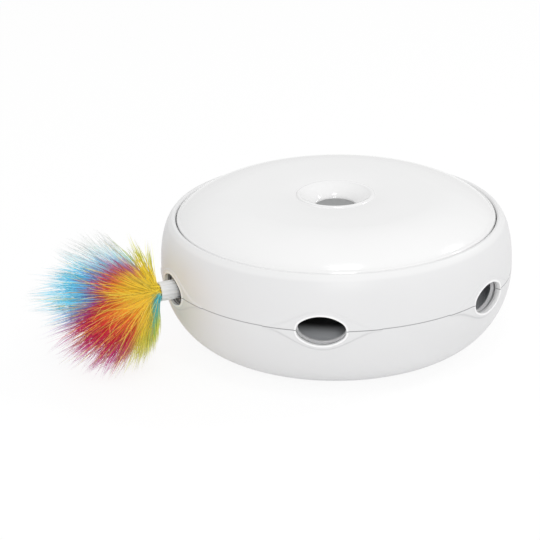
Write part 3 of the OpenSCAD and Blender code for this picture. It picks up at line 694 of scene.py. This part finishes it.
# Marks the raised rim round each hole for a painted highlight, and the foot of the swelling under
# it for painted shade
def paintHoleHighlightAndShade(piece):
    points = pointsOf(piece) / mm
    turn = np.arctan2(points[:, 1], points[:, 0])
    pitch = 2 * np.pi / body["holes"]
    turn -= pitch * np.rint(turn / pitch)
    across = np.hypot(points[:, 0], points[:, 1]) * np.sin(np.abs(turn))
    above = np.abs(points[:, 2] - body["seam"])
    out = ovalGap(across, above)
    # the pale rim is a painted highlight, and the swelling's foot gets painted shade
    middle, width = skin["crease"]
    foot = (np.exp(-((eyeGap(across, above) - middle) / width) ** 2)
            * (out > hole["lipOut"][0]) * smoothStep(*skin["creaseFrom"], above))
    marks = {"rim": 1 - smoothStep(*skin["rimHighlight"], out),
             "crease": foot * np.where(points[:, 2] < body["seam"], *skin["creaseShare"])}
    for name, values in marks.items():
        layer = piece.data.attributes.new(name, "FLOAT", "POINT")
        layer.data.foreach_set("value", values)


# A shell's skin. Half of one sixth of it is made, round the hole, beside it and over it, then
# mirrored and turned round. Shares are of the radius, across from the hole's middle
def shellSkin(name, side, line, ending):
    above = side * (line["points"][:, 1] - body["seam"])
    level = above.max() - body["edgeRound"] - 0.2
    wall = len(above) if side < 0 else np.searchsorted(above, level)
    slant = np.sqrt(1 + np.gradient(line["points"][:wall, 0], above[:wall]) ** 2)

    def radiusAt(height, lift):
        plain = np.interp(height, above[:wall], line["points"][:wall, 0])
        return plain + lift * np.interp(height, above[:wall], slant)

    def place(share, height, lift, depth):
        radius = radiusAt(height, lift)
        y = share * radius
        x = np.sqrt(radius ** 2 - y ** 2) - depth
        return np.stack([x, y, body["seam"] + side * height], -1)

    def placeOutside(share, height, depth):
        across = share * body["radius"]
        return place(share, height, skinRise(across, height, ovalGap(across, height)), depth)

    # Round the hole: rows from the seam up its end and along its side
    seamTurn = np.radians(np.linspace(0, 90, skinGrid["seam"]))
    straight = np.linspace(*skinGrid["rows"])
    heights = np.concatenate([skin["seamGap"] + skin["seamRound"] * (1 - np.cos(seamTurn)),
                              straight])
    depths = np.concatenate([skin["seamRound"] * (1 - np.sin(seamTurn)), 0 * straight])
    last = len(heights)
    fillet = np.radians(np.linspace(0, 90, skinGrid["fillet"]))
    outside = np.linspace(*skinGrid["outs"])
    outs = np.concatenate([[-skin["inset"]] * len(skin["wallDepths"]),
                           -skin["inset"] + skin["holeRound"] * (1 - np.cos(fillet)), outside])
    ins = np.concatenate([skin["wallDepths"], skin["holeRound"] * (1 - np.sin(fillet)),
                          0 * outside])
    out = outs[:, None]
    endR = hole["endRadius"] + out
    grow = smoothStep(*skinGrid["grow"], heights)[None, :]
    height = heights[None, :] * (1 + np.maximum(out, 0) / hole["endRadius"] * grow)
    turn = np.arcsin(np.clip(height / endR, 0, 1))
    endStart = math.asin(heights[-1] / hole["endRadius"])
    endTurn = np.linspace(endStart, meetTurn, skinGrid["end"])[1:][None, :]
    sideTurn = np.linspace(meetTurn, math.pi / 2, skinGrid["side"])[1:][None, :]
    across = np.concatenate([endOff + endR * np.cos(turn), endOff + endR * np.cos(endTurn),
                             (sideR + out) * np.cos(sideTurn)], 1)
    height = np.concatenate([height, endR * np.sin(endTurn),
                             -sideOff + (sideR + out) * np.sin(sideTurn)], 1)
    across[:, -1] = 0
    lift = skinRise(across, height, out + 0 * across)
    seamDepth = np.concatenate([depths, np.zeros(endTurn.size + sideTurn.size)])
    depth = np.maximum(ins[:, None] + 0 * across, seamDepth[None, :])
    share = across / radiusAt(height, lift)
    ring = place(share, height, lift, depth)

    # Beside it, to half of the pitch, where the share is a half
    edgeShare, edgeHeight = share[-1, :last], height[-1, :last]
    rest, restCount, growth = skinGrid["far"]
    spread = np.linspace(*skinGrid["near"])
    spread = np.concatenate([spread, skinGrid["near"][1]
                             + rest * np.linspace(0, 1, restCount)[1:] ** growth])
    spread = (spread - spread[0]) / (spread[-1] - spread[0])
    besideShare = edgeShare[:, None] + (0.5 - edgeShare[:, None]) * spread[None, :]
    besideHeight = edgeHeight[:, None] + 0 * besideShare
    beside = placeOutside(besideShare, besideHeight, depths[:, None] + 0 * besideShare)

    # Over both, to a line above the swelling
    footShare = np.concatenate([besideShare[-1, ::-1], share[-1, last:]])
    footHeight = np.concatenate([besideHeight[-1, ::-1], height[-1, last:]])
    eyeShare = np.minimum(footShare * body["radius"] / hole["eyeHalf"], 1)
    bell = hole["eyeHeight"] / 2 * (1 + np.cos(np.pi * eyeShare))
    eyeClear, holeClear, overCount = skinGrid["over"]
    topHeight = np.maximum(bell + eyeClear, footHeight + holeClear)
    climb = np.linspace(0, 1, overCount)[:, None]
    overHeight = footHeight[None, :] + (topHeight - footHeight)[None, :] * climb
    overShare = footShare[None, :] + 0 * overHeight
    over = placeOutside(overShare, overHeight, 0 * overShare)

    # And on along the outline, where the columns spread evenly
    startRun = np.interp(topHeight, above[:wall], line["run"][:wall])
    startTurn = np.arcsin(footShare)
    endTurns = np.linspace(math.pi / 6, 0, len(footShare))
    rows = []
    for run, blend in ending:
        runs = startRun + (run - startRun) * blend if blend <= 1 else run + 0 * startRun
        turns = startTurn + (endTurns - startTurn) * smoothStep(0, 1, blend)
        radius, level = [np.interp(runs, line["run"], line["points"][:, k])
                         + skin["cover"] * np.interp(runs, line["run"], line["normals"][:, k])
                         for k in (0, 1)]
        rows.append(np.stack([radius * np.cos(turns), radius * np.sin(turns), level], -1))
    over = np.concatenate([over, np.array(rows)])

    blocks = {"Ring": ring, "Beside": beside, "Over": over}
    piece = joined([gridPiece(name + part, block) for part, block in blocks.items()], name)
    mended(piece)
    applied(piece, "MIRROR", use_axis=(False, True, False), merge_threshold=2e-6)
    bpy.ops.object.mode_set(mode="EDIT")
    bpy.ops.mesh.select_all(action="SELECT")
    for _ in range(body["holes"] - 1):
        bpy.ops.mesh.duplicate()
        bpy.ops.transform.rotate(value=math.radians(360 / body["holes"]), orient_axis="Z",
                                 center_override=(0, 0, 0))
    bpy.ops.object.mode_set(mode="OBJECT")
    mended(piece)
    facedOut(piece)
    applied(piece, "SOLIDIFY", thickness=skin["thick"] * mm, offset=-1)
    paintHoleHighlightAndShade(piece)
    finished(piece, "shell_white", "housing", 50)
    print(name, len(piece.data.polygons), "faces")


# Each ending row is a length along the outline and how far the columns have spread
bellyLine = traced([curve(belly)[::-1]], -1)
down = bellyLine["run"][-1]
shellSkin("lowerShellSkin", -1, bellyLine, [(down, t) for t in np.linspace(0, 1, 17)[1:]])
mouthWall = np.array([(body["mouth"], rimArc[1]), (body["mouth"], rimArc[1] - 3)])
rimLine = arcOf(rimArc, body["edgeRound"], body["rimLean"], 180)
shoulderLine = traced([curve(shoulder), rimLine, mouthWall])
arcStart = traced([curve(shoulder)])["run"][-1]
arcEnd = arcStart + body["edgeRound"] * math.radians(180 - body["rimLean"])
climbShares = np.linspace(0, 1, 11)[1:]
shellSkin("upperShellSkin", 1, shoulderLine,
          [(arcStart, t) for t in climbShares]
          + [(arcStart + (arcEnd - arcStart) * t, 2) for t in climbShares]
          + [(arcEnd + t, 2) for t in (1, 2, 2.9)])

# The lid's lines in millimetres: its dome, the bowl and funnel of the source, and the dimple that
# the photograph shows, which opens wider, with a thin lip and a trumpet down to the button
domeRise = body["crest"] - body["rim"]
funnelTop = body["well"] + 14.8
lid = {
    "edge": (body["lid"] - body["edgeRound"], body["rim"] + 0.2 - body["edgeRound"]),
    "foot": (body["lid"], 67.0),
    "dome": [(body["lid"] - body["edgeRound"], body["rim"] + 0.2),
             (body["lid"] - 6.5, body["rim"] + 0.47 * domeRise),
             (body["crestRadius"] + 16, body["crest"]), (body["crestRadius"], body["crest"])],
    "bowl": [(body["crestRadius"], body["crest"]), (body["crestRadius"] - 10, body["crest"]),
             (funnelTop + 10, body["crest"]), (funnelTop, body["crest"] - 1)],
    "funnel": [(funnelTop, body["crest"] - 1), (funnelTop - 5.5, body["crest"] - 1.6),
               (body["well"] + 1.5, body["crest"] - 3), (body["well"], body["button"] + 1)],
    "wideBowl": [(body["crestRadius"], body["crest"]), (43, body["crest"]), (30, 82.6),
                 (22.5, 81.35)],
    "outerLip": [(22.5, 81.35), (22.1, 81.3), (22.0, 82.0), (21.2, 82.1)],
    "innerLip": [(21.2, 82.1), (20.6, 82.16), (20.1, 81.9), (19.7, 81.5)],
    "trumpet": [(19.7, 81.5), (17.2, 79.9), (13.2, 77.9), (body["well"], body["button"] + 0.2)],
    "wellFoot": (body["well"], body["button"] - 3.6),
    "steps": 240,
    "sink": 0.35,  # how far the lid's own surface keeps below its skin round the lip
    "sinkRise": (12.2, 14),  # radii where that sets in and ends
    "sinkFall": (26, 34),
    "level": (72.5, 76.5),  # what lies above is lowered, what lies below stays
}


# An outline, drawn point by point and spun round the axis
def turnedPiece(name, points, steps):
    bpy.ops.object.select_all(action="DESELECT")
    bpy.ops.mesh.primitive_plane_add(size=1)
    piece = bpy.context.object
    piece.name = name
    bpy.ops.object.mode_set(mode="EDIT")
    bpy.ops.mesh.select_all(action="SELECT")
    bpy.ops.mesh.merge(type="CENTER")
    places = [Vector((r * mm, 0, z * mm)) for r, z in points]
    bpy.ops.transform.translate(value=places[0])
    for before, after in zip(places, places[1:]):
        bpy.ops.mesh.extrude_region_move(TRANSFORM_OT_translate={"value": after - before})
    bpy.ops.mesh.select_all(action="SELECT")
    bpy.ops.mesh.spin(steps=steps, angle=2 * math.pi, center=(0, 0, 0), axis=(0, 0, 1))
    bpy.ops.object.mode_set(mode="OBJECT")
    mended(piece, 1e-6)
    return piece


def makeLidSkin(part):
    rows = {"dome": 22, "wideBowl": 16, "outerLip": 9, "innerLip": 9, "trumpet": 18}
    line = traced([np.array([part["foot"]]), arcOf(part["edge"], body["edgeRound"], 0, 90, 9)]
                  + [curve(part[name], count) for name, count in rows.items()]
                  + [np.array([part["wellFoot"]])])
    points = line["points"] + skin["cover"] * line["normals"]
    piece = turnedPiece("lidSkin", points, part["steps"])
    facedOut(piece)
    applied(piece, "SOLIDIFY", thickness=skin["thick"] * mm, offset=-1)
    finished(piece, "lid_white", "housing", 50)
    print("lid skin", len(piece.data.polygons), "faces")


# The lid itself, with its funnel lowered to the same line, above and below
def makeLidBody(part):
    piece = copied("top_lid", "lidBody")
    points = pointsOf(piece) / mm
    radius = np.hypot(points[:, 0], points[:, 1])
    old = np.concatenate([curve(part["bowl"]), curve(part["funnel"])])[::-1]
    new = np.concatenate([curve(part["wideBowl"]), curve(part["trumpet"])])[::-1]
    dip = np.interp(radius, new[:, 0], new[:, 1]) - np.interp(radius, old[:, 0], old[:, 1])
    dip -= (part["sink"] * smoothStep(*part["sinkRise"], radius)
            * (1 - smoothStep(*part["sinkFall"], radius)))
    dip *= (radius > body["well"] - 0.1) * smoothStep(*part["level"], points[:, 2])
    points[:, 2] += dip
    movePoints(piece, points * mm)
    finished(piece, "lid_white", "housing", 35)
    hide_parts("top_lid")
    print("lid lowered by", round(-dip.min(), 2), "mm at most,", len(piece.data.polygons), "faces")


makeLidSkin(lid)
makeLidBody(lid)


# The button's spring, a merged copy of its CAD shape
def makeSpring():
    piece = copied("button_spring", "buttonSpring")
    finished(piece, slotOf["button_spring"], "housing", 40)
    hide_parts("button_spring")
    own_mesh(piece)


makeSpring()
print("spring made")

# The sleeve: fluted along its length, rounded at its outer end, with an open bore
sleeve = {
    "start": 65.0,
    "end": 108.0,
    "radius": 5.5,
    "flutes": 14,
    "perFlute": 8,
    "depth": 0.5,
    "rows": 30,
    "bore": 4.2,
    "boreRows": (104, 98, 85),
    "boreRound": 0.12,
    "round": 0.6,
    "roundTurns": (20, 45, 70, 90),
}


def makeSleeve(part):
    turn = np.linspace(0, 2 * np.pi, part["flutes"] * part["perFlute"] + 1)
    half = part["depth"] / 2
    outer = part["radius"] - half + half * np.cos(part["flutes"] * turn)
    bore = part["bore"] + 0 * turn
    reach = part["end"] - part["round"]
    rings = [(x, outer) for x in np.linspace(part["start"], reach, part["rows"])]
    for step in np.radians(part["roundTurns"]):
        rings.append((reach + part["round"] * math.sin(step),
                      outer - part["round"] * (1 - math.cos(step))))
    rings.append((part["end"], part["bore"] + part["boreRound"] + 0 * turn))
    rings.append((part["end"] - part["boreRound"], bore))
    rings += [(x, bore) for x in (*part["boreRows"], part["start"])]
    rings.append(rings[0])
    points = [np.stack([-x + 0 * turn, radius * np.cos(turn),
                        body["seam"] + radius * np.sin(turn)], -1) for x, radius in rings]
    piece = gridPiece("featherSleeve", np.array(points))
    mended(piece)
    finished(piece, "sleeve_white", "drum", 60)
    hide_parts("feather_stem")


makeSleeve(sleeve)
print("sleeve made")

# The plume: barbs in pointed locks that fan out from the sleeve's end; each barb is a thin
# tapered tube. Turns are in degrees across the fan's face, from straight out (0) to straight up
# (90), and lengths in millimetres
plume = {
    "root": (-109.2, 0.0, 42.0),
    "heart": (-111.6, 0.0, 42.0),
    "bundle": (0.5, 3.5, 1.2),  # how far out of the root the barbs start, and how far apart
    "lead": 3.4,  # how far they run straight out first
    "bend": 0.55,  # where along a barb it bends
    "ripples": (4, 9),
    "ground": 0.6,
    "steps": (0, 0.1, 0.22, 0.36, 0.52, 0.68, 0.85, 1.0),
    "seed": 11,
    "faceTurn": -23.7,
    "faceTilt": 22.5,
    "deep": 40.0,  # how far the fan stands out of its own face
    "turns": [(0, -99), (0.13, -76), (0.5, -28), (0.82, 22), (0.970, 50), (1, 90)],  # share, turn
    "reach": [(-100, 26), (-88, 40), (-76, 50), (-60, 61), (-45, 69), (-24, 73), (-2, 76),
              (10, 74), (27, 66), (45, 54), (60, 41), (80, 31), (100, 22)],  # turn, length
}
locks = {
    "count": 168,
    "barbs": 20,
    "jitter": 2.0,  # degrees
    "lean": (4.0, 23.0, 46.0),  # mean, spread and limit of the lean out of the face, in degrees
    "upright": (48, 0.5),  # from this turn on they lean by this share of it
    "length": (0.84, 1.0),
    "ragged": (50, 0.50, 1.15),  # from this turn on their lengths vary by this too
    "barbLength": (0.70, 1.0),
    "spread": 0.13,
    "clump": 0.78,  # how far a lock's tips draw together
    "sway": 0.03,
    "wave": 0.5,
    "thick": 0.30,
    "thicker": (0.7, 1.2),
    "taper": 0.74,
    "blend": 0.045,  # how far the dyes run into each other, as a share of the reach
    "moodTurn": 3,  # degrees that the dyes shift from lock to lock
    "dyeTurn": 2,
    "light": (0.80, 1.12),
    "golden": (0.12, 0.03),  # share of golden barbs that hang and that rise
    "goldenBelow": 0.1,
}
strays = {
    "count": 58,
    "turns": (-66, 8),
    "lean": (34, 56),
    "spread": 0.16,
    "length": (0.7, 1.08),
    "sway": 0.08,
    "wave": 1.6,
    "thick": 0.2,
    "taper": 0.6,
    "reach": 60,
    "lighter": 6,
}
quill = {
    "points": [(0, 0), (-1.7, 2.1), (-3.2, 4.4), (-3.8, 7), (-3.9, 9.8), (-4.1, 12.6),
               (-3.6, 15.6), (-2.3, 18.6)],
    "proud": 2.2,
    "thick": (0.42, 0.1),
    "tint": ((84, 70, 18), (196, 186, 150)),
}
dyes = {
    "yolk": (222, 196, 58),
    "gold": (228, 192, 62),
    "amber": (232, 146, 44),
    "scarlet": (208, 52, 36),
    "crimson": (192, 24, 66),
    "magenta": (178, 42, 128),
    "violet": (104, 56, 172),
    "blue": (84, 130, 214),
    "sky": (104, 206, 234),
    "pale": (218, 238, 245),
    "mist": (222, 226, 222),
    "rose": (230, 180, 220),
    "lime": (194, 198, 66),
    "straw": (230, 228, 172),
    "teal": (88, 178, 186),
}
# Dye along a barb: share of the fan's reach, dye
sequences = {
    "cool": [(0, "yolk"), (0.20, "gold"), (0.26, "amber"), (0.32, "scarlet"), (0.37, "crimson"),
             (0.42, "violet"), (0.46, "blue"), (0.51, "sky"), (0.76, "sky"), (0.90, "pale"),
             (1, "pale")],
    "veil": [(0, "yolk"), (0.27, "gold"), (0.33, "crimson"), (0.41, "magenta"), (0.48, "sky"),
             (0.58, "pale"), (0.72, "mist"), (1, "mist")],
    "warm": [(0, "yolk"), (0.15, "gold"), (0.26, "amber"), (0.37, "scarlet"), (0.52, "crimson"),
             (0.72, "magenta"), (0.90, "rose"), (1, "pale")],
    "mixed": [(0, "yolk"), (0.20, "gold"), (0.28, "scarlet"), (0.40, "crimson"),
              (0.50, "magenta"), (0.58, "violet"), (0.66, "sky"), (0.86, "pale"), (1, "pale")],
    "yellow": [(0, "yolk"), (0.42, "yolk"), (0.62, "lime"), (0.84, "straw"), (1, "straw")],
    "teal": [(0, "yolk"), (0.13, "teal"), (0.42, "teal"), (0.66, "lime"), (1, "straw")],
    "golden": [(0, "yolk"), (0.5, "gold"), (0.85, "straw"), (1, "straw")],
    "stray": [(0, "gold"), (0.3, "yolk"), (1, "straw")],
}
# Where across the fan each sequence holds: turn, sequence
fan = [(-99, "teal"), (-93, "teal"), (-84, "yellow"), (-72, "yellow"), (-62, "warm"),
       (-26, "warm"), (-15, "mixed"), (-7, "cool"), (17, "cool"), (26, "veil"), (54, "veil"),
       (61, "yellow"), (100, "yellow")]
brightest = 252


def linear(colour):
    value = np.asarray(colour, float) / 255
    return np.where(value < 0.04045, value / 12.92, ((value + 0.055) / 1.055) ** 2.4)


def dyed(name, share):
    places = [place for place, _ in sequences[name]]
    colours = np.array([dyes[dye] for _, dye in sequences[name]], float)
    return np.stack([np.interp(share, places, colours[:, k]) for k in range(3)], -1)


# Dye of points on the fan, by their turn and their share of its reach
def fanDye(turn, share):
    turns = np.array([place for place, _ in fan], float)
    table = np.stack([dyed(name, share) for _, name in fan])
    place = np.clip(np.interp(turn, turns, np.arange(len(fan))), 0, len(fan) - 1.0001)
    low = place.astype(int)
    part = (place - low)[..., None]
    index = np.indices(turn.shape)
    return table[(low, *index)] * (1 - part) + table[(low + 1, *index)] * part


def unit(vectors):
    return vectors / np.linalg.norm(vectors, axis=-1, keepdims=True)


# The fan's own face: out of the sleeve and a little back, up, and across
faceTurn = math.radians(plume["faceTurn"])
faceTilt = math.radians(plume["faceTilt"])
fanOut = np.array([-math.cos(faceTurn), -math.sin(faceTurn), 0.0])
fanFace = np.array([math.sin(faceTurn) * math.cos(faceTilt),
                    -math.cos(faceTurn) * math.cos(faceTilt), math.sin(faceTilt)])
fanUp = np.cross(fanOut, fanFace)
fanUp *= np.sign(fanUp[2])


def fanWay(turn, lean):
    turn, lean = np.radians(turn)[..., None], np.radians(lean)[..., None]
    return (np.cos(lean) * (np.cos(turn) * fanOut + np.sin(turn) * fanUp)
            + np.sin(lean) * fanFace)


def fanReach(turn):
    return np.interp(turn, *zip(*plume["reach"]))


# Turn across the face, distance across the face and distance out of it
def fanPlace(offset):
    out, up = offset @ fanOut, offset @ fanUp
    return np.degrees(np.arctan2(up, out)), np.hypot(out, up), offset @ fanFace


def fullLength(way):
    turn, flat, deep = fanPlace(way)
    return 1 / np.sqrt((flat / fanReach(turn)) ** 2 + (deep / plume["deep"]) ** 2)


# Thin tubes along the barbs' paths, with the dye at each of their points
def tubes(name, paths, radii, colours, sides=3):
    barbs, steps = paths.shape[:2]
    aside = np.array([0.31, 0.22, 0.93])  # a direction that no barb takes
    along = unit(np.gradient(paths, axis=1))
    across = unit(np.cross(along, aside))
    over = np.cross(along, across)
    turns = 2 * np.pi * np.arange(sides) / sides
    ring = (across[:, :, None] * np.cos(turns)[:, None]
            + over[:, :, None] * np.sin(turns)[:, None])
    points = paths[:, :-1, None] + ring[:, :-1] * radii[:, :-1, None, None]
    perBarb = (steps - 1) * sides + 1
    vertices = np.concatenate([points.reshape(barbs, -1, 3), paths[:, -1:]], 1).reshape(-1, 3)
    walls = []
    for step in range(steps - 2):
        for k in range(sides):
            a, b = step * sides + k, step * sides + (k + 1) % sides
            walls.append((a, b, b + sides, a + sides))
    tip, edge = perBarb - 1, (steps - 2) * sides
    tips = [(edge + k, edge + (k + 1) % sides, tip) for k in range(sides)]
    root = [tuple(range(sides - 1, -1, -1))]
    starts = perBarb * np.arange(barbs)[:, None, None]
    faces = ((np.array(walls)[None] + starts).reshape(-1, 4).tolist()
             + (np.array(tips + root)[None] + starts).reshape(-1, 3).tolist())
    mesh = bpy.data.meshes.new(name)
    mesh.from_pydata((vertices * mm).tolist(), [], faces)
    shades = np.concatenate([np.repeat(colours[:, :-1], sides, axis=1), colours[:, -1:]], 1)
    shades = linear(shades.reshape(-1, 3))
    layer = mesh.color_attributes.new("dye", "FLOAT_COLOR", "POINT")
    layer.data.foreach_set("color", np.hstack([shades, np.ones((len(shades), 1))]).ravel())
    piece = bpy.data.objects.new(name, mesh)
    bpy.context.scene.collection.objects.link(piece)
    return piece


# Paths from the root by way of a bend to the tips, in millimetres, and the shares along them
def barbPaths(rng, ways, tipWays, lengths, sway, wave):
    total = len(ways)
    heart, root = np.array(plume["heart"]), np.array(plume["root"])
    near, far, apart = plume["bundle"]
    start = root + np.stack([rng.uniform(near, far, total), rng.normal(0, apart, total),
                             rng.normal(0, apart, total)], -1)
    first = start + np.array([-plume["lead"], 0, 0])
    middle = (heart + ways * (plume["bend"] * lengths)[:, None]
              + rng.normal(0, sway, (total, 3)) * lengths[:, None])
    tip = heart + tipWays * lengths[:, None]
    t = np.array(plume["steps"])[None, :, None]
    paths = cubic(t, start[:, None], first[:, None], middle[:, None], tip[:, None])
    t = t[..., 0]
    ripple = np.sin(t * rng.uniform(*plume["ripples"], total)[:, None]
                    + rng.uniform(0, 6.28, total)[:, None])
    paths += (ripple * t * wave)[..., None] * unit(rng.normal(0, 1, (total, 3)))[:, None]
    paths[..., 2] = np.maximum(paths[..., 2], plume["ground"])
    return paths, t


def makeLocks(rng, part):
    count, total = part["count"], part["count"] * part["barbs"]
    order = (np.arange(count) + 0.5) / count
    turn = np.interp(order, *zip(*plume["turns"])) + rng.normal(0, part["jitter"], count)
    mean, spread, limit = part["lean"]
    lean = np.clip(rng.normal(mean, spread, count), -limit, limit)
    lean *= np.where(turn > part["upright"][0], part["upright"][1], 1)
    lockLength = rng.uniform(*part["length"], count)
    ragged = turn > part["ragged"][0]
    lockLength[ragged] *= rng.uniform(*part["ragged"][1:], ragged.sum())
    ways = fanWay(turn, lean)
    moods = rng.uniform(-1, 1, count)
    lock = np.repeat(np.arange(count), part["barbs"])
    scatter = rng.normal(0, part["spread"], (total, 3))
    way = unit(ways[lock] + scatter)
    tipWay = unit(ways[lock] + scatter * (1 - part["clump"]))
    length = fullLength(tipWay) * lockLength[lock] * rng.uniform(*part["barbLength"], total)
    paths, t = barbPaths(rng, way, tipWay, length, part["sway"], part["wave"])
    thick = part["thick"] * rng.uniform(*part["thicker"], total)
    radii = thick[:, None] * (1 - part["taper"] * t)
    turns, flat, _ = fanPlace(paths - np.array(plume["heart"]))
    gone = flat / fanReach(turns)
    shift = moods[lock] * part["blend"] + rng.normal(0, part["blend"], total)
    share = np.clip(gone + shift[:, None] * np.clip(gone * 3, 0, 1), 0, 1)
    turned = moods[lock] * part["moodTurn"] + rng.normal(0, part["dyeTurn"], total)
    colours = fanDye(turns + turned[:, None], share)
    light = rng.uniform(*part["light"], total)
    hanging = tipWay[:, 2] < part["goldenBelow"]
    golden = rng.random(total) < np.where(hanging, *part["golden"])
    colours = np.where(golden[:, None, None], dyed("golden", share), colours)
    return paths, radii, np.clip(colours * light[:, None, None], 0, brightest)


# Loose barbs over the lower part of the fan's face
def makeStrays(rng, part):
    count = part["count"]
    way = fanWay(rng.uniform(*part["turns"], count), rng.uniform(*part["lean"], count))
    tipWay = unit(way + rng.normal(0, part["spread"], (count, 3)))
    length = fullLength(tipWay) * rng.uniform(*part["length"], count)
    paths, t = barbPaths(rng, way, tipWay, length, part["sway"], part["wave"])
    radii = part["thick"] * (1 - part["taper"] * t) + np.zeros((count, 1))
    _, flat, _ = fanPlace(paths - np.array(plume["heart"]))
    colours = dyed("stray", flat / part["reach"]) + part["lighter"]
    return paths, radii, np.clip(colours, 0, brightest)


# The bare end of the quill, in front of the fan's face
def makeQuill(part):
    points = np.array(part["points"])
    path = (np.array(plume["heart"]) - points[:, :1] * fanOut + points[:, 1:] * fanUp
            + part["proud"] * fanFace)
    radii = np.linspace(*part["thick"], len(points))
    return path[None], radii[None], np.linspace(*part["tint"], len(points))[None]


def makePlume():
    rng = np.random.default_rng(plume["seed"])
    groups = [makeLocks(rng, locks), makeStrays(rng, strays), makeQuill(quill)]
    piece = tubes("featherPlume", *[np.concatenate(rows) for rows in zip(*groups)])
    finished(piece, "feather_dyed", "drum", 180)
    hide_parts("feather_plume")
    print("plume", len(piece.data.polygons), "faces")


makePlume()
